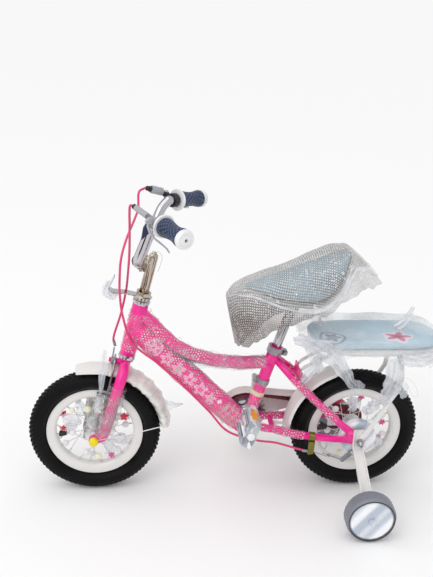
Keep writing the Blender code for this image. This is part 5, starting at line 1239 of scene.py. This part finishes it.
def cushion_outline(floor, gap, crown):
    """A padded section: narrow foot, full side, rolled shoulder and a crowned top."""

    def outline(half, height):
        low = floor + gap
        rise = height - low
        side = []
        for i in range(13):
            angle = radians(-46 + 134 * i / 12)
            across = half - 0.0105 + 0.0105 * cos(angle)
            side.append((across, low + rise * (0.44 + 0.42 * sin(angle))))
        inner = [(half * (0.8 - 0.2 * i), low + rise * (0.87 + crown * (0.4 + 0.6 * i / 4)))
                 for i in range(4)]
        right = side + inner
        return right + [(0.0, low + rise * (0.88 + crown))] + [(-y, h) for y, h in reversed(right)]

    return outline


def padded_form(rings):
    """Remeshes a cushion form and lets air pressure fill it, so that its cover looks stuffed."""
    form = skin(capped(rings), True)
    modify(form, "REMESH", mode="VOXEL", voxel_size=0.0045)
    rest = [vertex.co.copy() for vertex in form.data.vertices]
    pick(form)
    cloth = form.modifiers.new("stuffing", "CLOTH")
    cloth.settings.use_pressure = True
    cloth.settings.uniform_pressure_force = 4.0
    cloth.settings.effector_weights.gravity = 0.0
    cloth.settings.quality = 5
    for number in range(1, 15):
        bpy.context.scene.frame_set(number)
    bpy.ops.object.modifier_apply(modifier="stuffing")
    bpy.context.scene.frame_set(1)
    for vertex, place in zip(form.data.vertices, rest):
        move = vertex.co - place
        if move.length > STUFFING_SLACK:
            vertex.co = place + move.normalized() * STUFFING_SLACK
    modify(form, "SMOOTH", factor=0.6, iterations=6)
    return modify(form, "SUBSURF", levels=1, render_levels=1)


def hood_section(row):
    """Half of a hood's cross section, from its crown over the fold to its hem."""
    crown_x, crown_z, fold_x, fold_z, fold_half, hem_x, hem_z, hem_half = row
    crown = from_rear(crown_x, 0, crown_z)
    fold = from_rear(fold_x, fold_half, fold_z)
    hem = from_rear(hem_x, hem_half, hem_z)
    out = [crown]
    for drop, reach in ((0.06, 0.42), (0.26, 0.74), (0.62, 0.94)):
        place = crown.lerp(fold, drop)
        place.y = fold.y * reach
        out.append(place)
    under = fold.lerp(hem, 0.16)
    under.y -= 0.003
    return out + [fold, under, fold.lerp(hem, 0.55), hem]


def hood(name, rows, body, node, finish, ruffle, hang, droop=0.0):
    """A film cover over a seat: an arch of film, folded along its side, with a loose wavy hem."""
    count = 8 * (len(rows) - 1)
    rings = []
    for i in range(count + 1):
        half = catmull(hood_section(section_ring(rows, i / count)), 5)
        right = []
        for j, point in enumerate(half):
            t = j / (len(half) - 1)
            swell = ruffle * t * (sin(i * 0.34 + t * 2.0) + 0.6 * sin(i * 0.57 - t * 5.0 + 1.0))
            shrug = ruffle * 0.35 * sin(i * 0.45 + t * 9.0)
            fall = hang * max(0.0, t - 0.65) * (sin(i * 0.41 + 1.0) + 0.5 * sin(i * 0.93))
            right.append(point + Vector((0, swell, shrug + fall)))
        left = [Vector((p.x, -p.y, p.z)) for p in right]
        for j, point in enumerate(right):
            low = max(0.0, j / (len(right) - 1) - 0.5) * 2
            point.z -= droop * low * max(0.0, min(1.0, 2.2 - 3.2 * i / count))
        rings.append(left[:0:-1] + right)
    sheet = skin(rings, caps=False, closed=False)
    modify(sheet, "SOLIDIFY", thickness=0.0005, offset=0.0)
    settle(sheet, name, finish, body, [node], 60)


class BICYCLE_OT_seats(bpy.types.Operator):
    """Model the saddle and the passenger's seat, padded, with their piping and film covers"""

    bl_idname = "bicycle.seats"
    bl_label = "Seats and film"

    def execute(self, context):
        shares = [i / 40 for i in range(41)]
        cover = padded_form([saddle_ring(s, cushion_outline(0.0055, 0.0012, 0.1)) for s in shares])
        settle(cover, "saddle_cover", "vinyl", "seat", ["saddle"], 60)
        finish_node("saddle_base", "saddle_moulding", "white_plastic", 35, 0.001)
        foot = [saddle_ring(s, lambda half, height: [(-half - 0.0005, 0.0052), (half + 0.0005, 0.0052)])
                for s in shares]
        edge = [left for left, _ in foot] + [right for _, right in reversed(foot)]
        settle(swept(edge + [edge[0]], 0.0024, 10, caps=False), "saddle_piping", "white_plastic", "seat")
        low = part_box("passenger_pad")[0].z
        rings = []
        for share in shares:
            x, half, lift = section_ring(PAD_STATIONS, share)
            outline = cushion_outline(0.0, 0.0008, 0.08)(half - 0.003, 0.02)
            rings.append([from_rear(x, y, low + lift + h) for y, h in outline])
        pad = padded_form(rings)
        settle(pad, "passenger_cushion", "pad_vinyl", "frame", ["passenger_pad"], 60)
        finish_node("passenger_pad_base", "passenger_tray", "white_plastic", 35, 0.0015)
        hood("saddle_bubble_bag", SADDLE_HOOD, "seat", "saddle_wrap", "seat_film", 0.0015,
             0.01, 0.034)
        hood("passenger_film_cover", PAD_HOOD, "frame", "passenger_wrap", "pad_film",
             0.0026, 0.02)
        fold = [from_rear(x, -half - 0.0012, z + 0.001)
                for _, _, x, z, half, *_ in map(metres, SADDLE_HOOD[1:-1])]
        ribbon("saddle_bag_fold", fold, (0.001, 0.0028, 0.003, 0.0034, 0.0046, 0.006, 0.004), "seat", 1.0,
               0.0004, "fold_film")
        for name, pleats, route, widths in PAD_FILM:
            ribbon(f"passenger_film_{name}", places(route), metres(widths), "frame", pleats, 0.0024)
        wire_loop("passenger_wire_tie", PAD_TIE, 0.0006, "frame")
        return {"FINISHED"}


# Handlebar

# The right half of the bar in mm from the rear axle's foot, from its clamp to its grip.
BAR_HALF = ((-509, 24, 572), (-507, 42, 582), (-500, 54, 602), (-490, 64, 628), (-480, 75, 655),
            (-473.5, 82.5, 669), (-464, 91.8, 679.5), (-455.8, 101.7, 681.5), (-401.8, 170.1, 672.8))
LEVER_PIVOT = ((-201.5, -126, 693.4), (-195.5, -126, 672.9), (-213.1, -126, 656.2), (-209.3, -126, 681))
GRIP_LENGTH = 0.071
# The sleeve's outline as radius and distance in mm: first from the grip's start, then from its end.
GRIP_START = ((11.5, -2.5), (25, -2), (24, 2.5), (12.8, 2.5))
GRIP_END = ((12.8, 0), (19.5, 0), (20.5, 6), (18, 11.5), (14, 12.1), (13.6, 11.2), (11.6, 11.4), (11.2, 12.4),
            (3.6, 13), (3.6, 6), (1, 6), (1, -1.5))
# The rubber's distance from the grip's start and its radius there, in mm.
GRIP_WAIST = ((2.9, 15), (3.2, 19.2), (6, 20), (16, 19), (30, 16.8), (42, 16.2), (52, 16.8), (61, 18.8),
              (66, 19.6), (70, 19), (70.6, 15))


class BICYCLE_OT_handlebar(bpy.types.Operator):
    """Finish the bar, grips and levers, and the washer on the headset"""

    bl_idname = "bicycle.handlebar"
    bl_label = "Handlebar and brakes"

    def execute(self, context):
        half = [metres(row) for row in BAR_HALF]
        route = [bar_place(x, -y, z) for x, y, z in reversed(half)]
        route += [bar_place(-0.509, 0, 0.572)] + [bar_place(*row) for row in half]
        settle(swept(catmull(route, 8), 0.011, 28), "bent_handlebar", "chrome", "steering",
               ["handlebar"], 50)
        for side, sign in SIDES:
            self.grip(side, sign)
            mouth, tip = bar_place(-0.504, sign * 0.09, 0.708), bar_place(-0.5095, sign * 0.0857, 0.71)
            settle(rod(mouth, tip, 0.0054, 20, 0.0008), f"cable_adjuster_{side}", "black", "steering")
        root, mouth = bar_place(-0.4775, 0.1115, 0.6975), bar_place(-0.504, 0.09, 0.708)
        settle(rod(root, root.lerp(mouth, 0.86), 0.009, 28, 0.0018), "lever_barrel_cover", "silver",
               "steering")
        settle(bevelled(pulled(places(LEVER_PIVOT), (0, 0.014, 0)), 0.002, 3), "lever_pivot_cover", "navy",
               "steering")
        ring = [(0.0113, 0.1527), (0.0165, 0.1527), (0.0165, 0.1546), (0.0113, 0.1546)]
        settle(turned(rounded(ring, 0.0005, 2), STEER_BASE, STEER_UP, 40), "headset_washer", "stem",
               "steering")
        return {"FINISHED"}

    def grip(self, side, sign):
        """The flanged sleeve, the waisted rubber over it and the pierced end button."""
        start = bar_place(-0.4435, sign * 0.1173, 0.6795)
        out = (bar_place(-0.4018, sign * 0.1701, 0.6728) - start).normalized()
        outline = [(0.0115, GRIP_LENGTH - 0.0015), *map(metres, GRIP_START)]
        outline += [(radius, GRIP_LENGTH + along) for radius, along in map(metres, GRIP_END)]
        core = turned(rounded(outline, 0.0009, 3), start, out, 48)
        plug = rod(start + out * (GRIP_LENGTH + 0.004), start + out * (GRIP_LENGTH + 0.0065), 0.0035, 20)
        settle(plug, f"grip_end_hole_{side}", "black", "steering")
        settle(core, f"grip_sleeve_{side}", "pearl", "steering", [f"grip_core_{side}"], 40)
        waist = [metres(pair) for pair in GRIP_WAIST]
        rubber = swept([start + out * along for along, _ in waist], [radius for _, radius in waist], 48)
        settle(rubber, f"grip_rubber_{side}", "grip", "steering", [f"grip_{side}"], 50)


# Small parts with their own finish

# Solid parts that keep their shape, by finish.
PLAIN = {
    "chrome": "headset_lower_cup headset_upper_cup basket_bracket crank_left crank_right seat_post"
              " brake_lever_right",
    "stem": "headset_nut stem",
    "zinc": "seat_collar rear_axle guard_clip rear_brake_arm chainring front_axle caliper_left"
            " caliper_right",
    "silver": "brake_lever_left lever_bracket_left",
    "white_paint": "stabiliser_bracket_left stabiliser_bracket_right carrier_frame",
    "white_plastic": "chain_guard front_mudguard rear_mudguard",
    "prism": "pedal_left pedal_right",
    "disc": "rear_brake_cover stabiliser_disc_left stabiliser_disc_right",
    "gold": "rear_brake_clip",
    "chain": "chain freewheel",
    "black": "lever_bracket_right",
    "yellow": "axle_cap_left axle_cap_right",
    "grey": "stabiliser_wheel_left stabiliser_wheel_right",
}
PEDAL_MIDDLES = {"left": Vector((0.019239, 0, 0.246604)), "right": Vector((0.048242, 0, 0.097396))}
# Each film end on the front: name, body, finish, route in mm and half widths in mm.
FRONT_FILM = (
    ("mudguard_corner", "steering", "knot_film", ((-156, -33, 232), (-140, -33, 233), (-118.2, -30, 234.4)),
     (15, 9, 1)),
    ("brake_strand", "steering", "knot_film", ((-292.3, -40, 376.2), (-297.1, -45, 329.7),
                                               (-305.1, -40, 264.4)), (4, 9, 3)),
    # The fork band is a film strip beside the far fork leg, dark grey as painted shade.
    ("fork_band", "steering", "painted_shade_film", ((-330, 62, 234), (-335.4, 62, 187.6), (-341.3, 62, 132.9),
                                             (-349, 62, 88)), (9, 11.5, 11, 7)),
    ("bracket_film", NODES["basket_bracket"]["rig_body"], "knot_film",
     ((-283.6, -4, 525.1), (-290.4, -4, 501.7), (-277.6, -4, 487.7), (-264.5, -4, 494.8)), (6, 10, 8, 3)))
MUDGUARD_TIE = ((-158.8, -32, 192.8), (-145, -32, 182), (-133.1, -32, 171.3), (-140, -32, 165),
                (-156, -32, 178))
STEM_LOOP = ((-201.6, -12, 567.3), (-195.3, -12, 590.2), (-178.2, -12, 594.9), (-169.4, -12, 581.3),
             (-177.8, -12, 549.1))


class BICYCLE_OT_fittings(bpy.types.Operator):
    """Finish every other part: guards, carrier, chain set, stabilisers, pedals and hardware"""

    bl_idname = "bicycle.fittings"
    bl_label = "Fittings"

    def execute(self, context):
        for finish, nodes in PLAIN.items():
            for node in nodes.split():
                finish_node(node, f"{node}_finished", finish, 36)
        for side, sign in SIDES:
            self.pedal(side, sign, PEDAL_MIDDLES[side])
            self.disc_groove_shade(side, sign)
        self.front_film()
        return {"FINISHED"}

    def disc_groove_shade(self, side, sign):
        """A black ring round a stabiliser's silvered disc, as painted shade in the groove there."""
        low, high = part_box(f"stabiliser_disc_{side}")
        middle, radius = (low + high) / 2, (high.z - low.z) / 2
        middle.y = high.y if sign > 0 else low.y
        outline = [(radius - 0.0006, -0.001), (radius + 0.0014, -0.001), (radius + 0.0014, 0.0006),
                   (radius - 0.0006, 0.0006)]
        # Painted shade: a black ring standing in for the shade in the groove.
        ring = turned(rounded(outline, 0.0004, 2), middle, Y_AXIS * sign, 64)
        settle(ring, f"stabiliser_ring_{side}", "black", f"stabiliser_{side}")
        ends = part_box(f"stabiliser_bracket_{side}")
        reach = max(abs(ends[0].y), abs(ends[1].y), abs(middle.y)) + 0.001
        tip = Vector((middle.x, sign * reach, middle.z))
        settle(rod(middle, tip, 0.008, 32, 0.0006), f"stabiliser_cap_{side}", "disc", f"stabiliser_{side}")

    def pedal(self, side, sign, centre):
        """Tread ribs, the outer end plate, the reflectors on the long edges, and the spindle's cap."""
        wide = Vector((sin(PEDAL_LEAN), 0, cos(PEDAL_LEAN)))
        thick = Vector((cos(PEDAL_LEAN), 0, -sin(PEDAL_LEAN)))
        out = Y_AXIS * sign

        def plate(w_low, w_high, t_low, t_high, y_low, y_high, ease=0.0006):
            corners = [centre + wide * w + thick * t + out * y_low
                       for w, t in ((w_low, t_low), (w_high, t_low), (w_high, t_high), (w_low, t_high))]
            return bevelled(pulled(corners, out * (y_high - y_low)), ease)

        ribs = [plate(w - 0.0016, w + 0.0016, face * 0.0115, face * 0.014, 0.11, 0.185)
                for face in (-1, 1) for w in (-0.0255, -0.0175, 0.0175, 0.0255)]
        edges = [plate(0.029, 0.0318, -0.007, 0.007, 0.128, 0.17),
                 plate(-0.0318, -0.029, -0.007, 0.007, 0.128, 0.17)]
        end = plate(-0.0285, 0.0285, -0.0112, 0.0112, 0.1895, 0.1925, 0.001)
        cap = rod(centre + out * 0.19, centre + out * 0.1948, 0.0085, 28, 0.0012)
        for piece, name, finish in ((joined(*ribs), "ribs", "tread"), (end, "end", "prism"),
                                    (joined(*edges), "reflectors", "orange"), (cap, "cap", "pearl")):
            settle(piece, f"pedal_{name}_{side}", finish, f"pedal_{side}")

    def front_film(self):
        """Wrapping on the front mudguard, brake, fork and basket bracket; the strip beside the far fork leg
        is dark grey as painted shade.
        """
        path = [FRONT_AXLE + Vector((cos(a), 0, sin(a))) * 0.164
                for a in (radians(78 - 5 * i) for i in range(15))]
        sleeve("mudguard_film", path, [(0.0305, 0.0085), (0.032, 0.0125), (0.032, 0.011)], "steering",
               finish="white_film", crumple=1.7, sides=48)
        for name, body, finish, route, widths in FRONT_FILM:
            ribbon(f"front_{name}", places(route), metres(widths), body, 2.0, 0.0016, finish)
        wire_loop("mudguard_wire_tie", MUDGUARD_TIE, 0.0006, "steering")
        wire_loop("stem_film_loop", STEM_LOOP, 0.0009, "steering")


# Brake cables

# The routes of the cable outers, from the levers to their stops, as on the solid parts.
FRONT_CABLE = [bar_place(-0.5119, -0.0838, 0.7109), *rear_places((
    (-529, -71, 708), (-529.5, -63, 660), (-531, -37, 600), (-536, 2, 531), (-541, 22.5, 487),
    (-553, 28, 431), (-569, 30, 376))), steer(-0.002, 0.0297, 0.03)]
REAR_CABLE_UPPER = [bar_place(-0.5119, 0.0838, 0.7109), *rear_places((
    (-513, 80, 700), (-514, 69, 668), (-521, 50, 650), (-539.5, 21, 609.5), (-550, -5, 573),
    (-552.5, -21.5, 531), (-552, -24.5, 498), (-547, -24.5, 454), (-531, -24, 394), (-511, -22.5, 369),
    (-474, -20.5, 338)))]
REAR_CABLE_LOWER = rear_places((
    (-473.3, -20.5, 337.4), (-412, -20.5, 277.5), (-350, -21.5, 210), (-305, -24, 158), (-240, -30, 137),
    (-191, -40, 135), (-147, -53, 128), (-120, -59.4, 124.4)))
REAR_WIRE = rear_places(((-120, -59.4, 124.4), (-108, -59.4, 122.5), (-72, -57.8, 108)))
CABLE_R = 0.0026


class BICYCLE_OT_cables(bpy.types.Operator):
    """Lay the brake cables from the levers to the caliper and the rear brake arm"""

    bl_idname = "bicycle.cables"
    bl_label = "Brake cables"

    def execute(self, context):
        self.cable("front_brake_cable", FRONT_CABLE, "front_cable", "steering")
        self.cable("rear_brake_cable_upper", REAR_CABLE_UPPER, "rear_cable_upper", None)
        self.cable("rear_brake_cable_lower", REAR_CABLE_LOWER, "rear_cable_lower", "frame")
        settle(swept(catmull(REAR_WIRE, 6), 0.0009, 10), "rear_brake_wire", "zinc", "frame")
        end = REAR_CABLE_LOWER[-1]
        ahead = (REAR_WIRE[1] - REAR_WIRE[0]).normalized()
        settle(rod(end - ahead * 0.012, end + ahead * 0.002, 0.0034, 20, 0.0006), "rear_cable_ferrule",
               "zinc", "frame")
        end = FRONT_CABLE[-1]
        back = (catmull(FRONT_CABLE, 10)[-3] - end).normalized()
        settle(rod(end + back * 0.012, end - back * 0.001, 0.0034, 20, 0.0006), "front_cable_ferrule",
               "zinc", "steering")
        return {"FINISHED"}

    def cable(self, name, route, node, body):
        """One cable outer on its route; one with no body is left unparented, between the frame and the
        steering.
        """
        path = catmull(route, 10)
        tube = settle(swept(path, CABLE_R, 16), name, "cable", body or "frame", [node], 60)
        if not body:
            tube.parent = None
            del tube["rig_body"]
            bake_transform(tube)


# Stage


class BICYCLE_OT_stage(bpy.types.Operator):
    """Set the floor, the soft lamps and the camera at the photograph's viewing angle"""

    bl_idname = "bicycle.stage"
    bl_label = "Stage"

    def execute(self, context):
        self.floor()
        self.world()
        self.lights()
        self.card("front_card", (0.6, -3.4, 0.8), (2.6, 0.9), (pi / 2, 0, radians(10)))
        self.card("left_card", (-3.4, -0.6, 0.7), (2.6, 0.9), (pi / 2, 0, radians(100)))
        for number, degrees in enumerate((212, 246, 292), 1):
            angle = radians(degrees)
            self.card(f"floor_card_{number}", (1.9 * cos(angle), 1.9 * sin(angle), 0.012), (2.4, 0.42),
                      (0, 0, angle))
        self.camera()
        context.scene.view_settings.view_transform = "Standard"
        return {"FINISHED"}

    def floor(self):
        deselect()
        bpy.ops.mesh.primitive_plane_add(size=160.0, location=(0, 0, 0))
        floor = bpy.context.object
        floor.name = "floor"
        made = Look("floor_paper", (0.97, 0.97, 0.97), 0.95)
        made.set("Specular IOR Level", 0.0)
        floor.data.materials.append(made.material)

    def world(self):
        """Plain white where it is seen, and a gentler white where it lights."""
        world = bpy.data.worlds.new("studio")
        bpy.context.scene.world = world
        world.use_nodes = True
        tree = world.node_tree
        tree.nodes.clear()
        mix = tree.nodes.new("ShaderNodeMixShader")
        paths = tree.nodes.new("ShaderNodeLightPath")
        tree.links.new(paths.outputs["Is Camera Ray"], mix.inputs[0])
        for number, strength in ((1, 0.72), (2, 1.0)):
            light = tree.nodes.new("ShaderNodeBackground")
            light.inputs["Color"].default_value = (1, 1, 1, 1)
            light.inputs["Strength"].default_value = strength
            tree.links.new(light.outputs[0], mix.inputs[number])
        out = tree.nodes.new("ShaderNodeOutputWorld")
        tree.links.new(mix.outputs[0], out.inputs["Surface"])

    def lights(self):
        """A broad overhead light that leaves a faint shadow under the wheels, and a large lamp."""
        deselect()
        bpy.ops.object.light_add(type="SUN", location=(0, 0, 3))
        sun = bpy.context.object
        sun.name = "overhead_light"
        sun.data.angle = radians(70)
        sun.data.energy = 0.85
        sun.rotation_euler = (radians(14), radians(-20), 0)
        place = Vector((-1.8, -2.2, 2.6))
        deselect()
        bpy.ops.object.light_add(type="AREA", location=place)
        lamp = bpy.context.object
        lamp.name = "key_lamp"
        lamp.data.size = 2.0
        lamp.data.energy = 16.0
        lamp.rotation_euler = (Vector((0, 0, 0.3)) - place).to_track_quat("-Z", "Y").to_euler()

    def card(self, name, place, size, turn):
        """A dark card the camera doesn't see, for the bright plating to mirror."""
        deselect()
        bpy.ops.mesh.primitive_plane_add(size=1.0, location=place)
        card = bpy.context.object
        card.name = name
        card.scale = (*size, 1.0)
        card.rotation_euler = turn
        made = Look(f"{name}_paper", linear(58, 42, 32), 0.9)
        made.bump(made.noise(20.0, 2.0), 0.0005, 0.1)
        card.data.materials.append(made.material)
        card.visible_camera = card.visible_shadow = card.visible_diffuse = False

    def camera(self):
        """The camera's place, turn and lens as worked out from the wheels in the photograph."""
        deselect()
        bpy.ops.object.camera_add()
        camera = bpy.context.object
        camera.name = "photo_camera"
        bpy.context.scene.camera = camera
        turn, tilt, roll = radians(-5.12), radians(21.41), radians(2.19)
        back = Vector((sin(turn) * cos(tilt), -cos(turn) * cos(tilt), sin(tilt)))
        right = Vector((cos(turn), sin(turn), 0))
        up = back.cross(right)
        axes = Matrix((right * cos(roll) + up * sin(roll), up * cos(roll) - right * sin(roll),
                       back)).transposed()
        camera.matrix_world = Matrix.Translation((-0.19526, -1.63417, 1.15)) @ axes.to_4x4()
        camera.data.sensor_width = 36.0
        camera.data.lens = 36.0 * 800 / 577


# Panel and registration


class BICYCLE_PT_panel(bpy.types.Panel):
    bl_idname = "BICYCLE_PT_panel"
    bl_label = "Child's bicycle"
    bl_space_type = "VIEW_3D"
    bl_region_type = "UI"
    bl_category = "Bicycle"

    def draw(self, context):
        layout = self.layout
        scene = context.scene
        for group in (scene.bicycle_colours, scene.bicycle_wheels, scene.bicycle_film):
            box = layout.box()
            for name in group.bl_rna.properties.keys():
                if name not in ("rna_type", "name"):
                    box.prop(group, name)
        for step in STEPS:
            layout.operator(step.bl_idname)


GROUPS = (
    ("bicycle_colours", BicycleColours),
    ("bicycle_wheels", WheelSizes),
    ("bicycle_film", FilmSizes),
)
STEPS = (
    BICYCLE_OT_stage,
    BICYCLE_OT_cables,
    BICYCLE_OT_fittings,
    BICYCLE_OT_wheels,
    BICYCLE_OT_frame,
    BICYCLE_OT_seats,
    BICYCLE_OT_handlebar,
)


def register():
    for name, group in GROUPS:
        bpy.utils.register_class(group)
        setattr(bpy.types.Scene, name, PointerProperty(type=group))
    for step in STEPS:
        bpy.utils.register_class(step)
    bpy.utils.register_class(BICYCLE_PT_panel)


def unregister():
    bpy.utils.unregister_class(BICYCLE_PT_panel)
    for step in reversed(STEPS):
        bpy.utils.unregister_class(step)
    for name, group in reversed(GROUPS):
        delattr(bpy.types.Scene, name)
        bpy.utils.unregister_class(group)


def main():
    register()
    for step in STEPS:
        family, action = step.bl_idname.split(".")
        getattr(getattr(bpy.ops, family), action)()


if __name__ == "__main__":
    main()
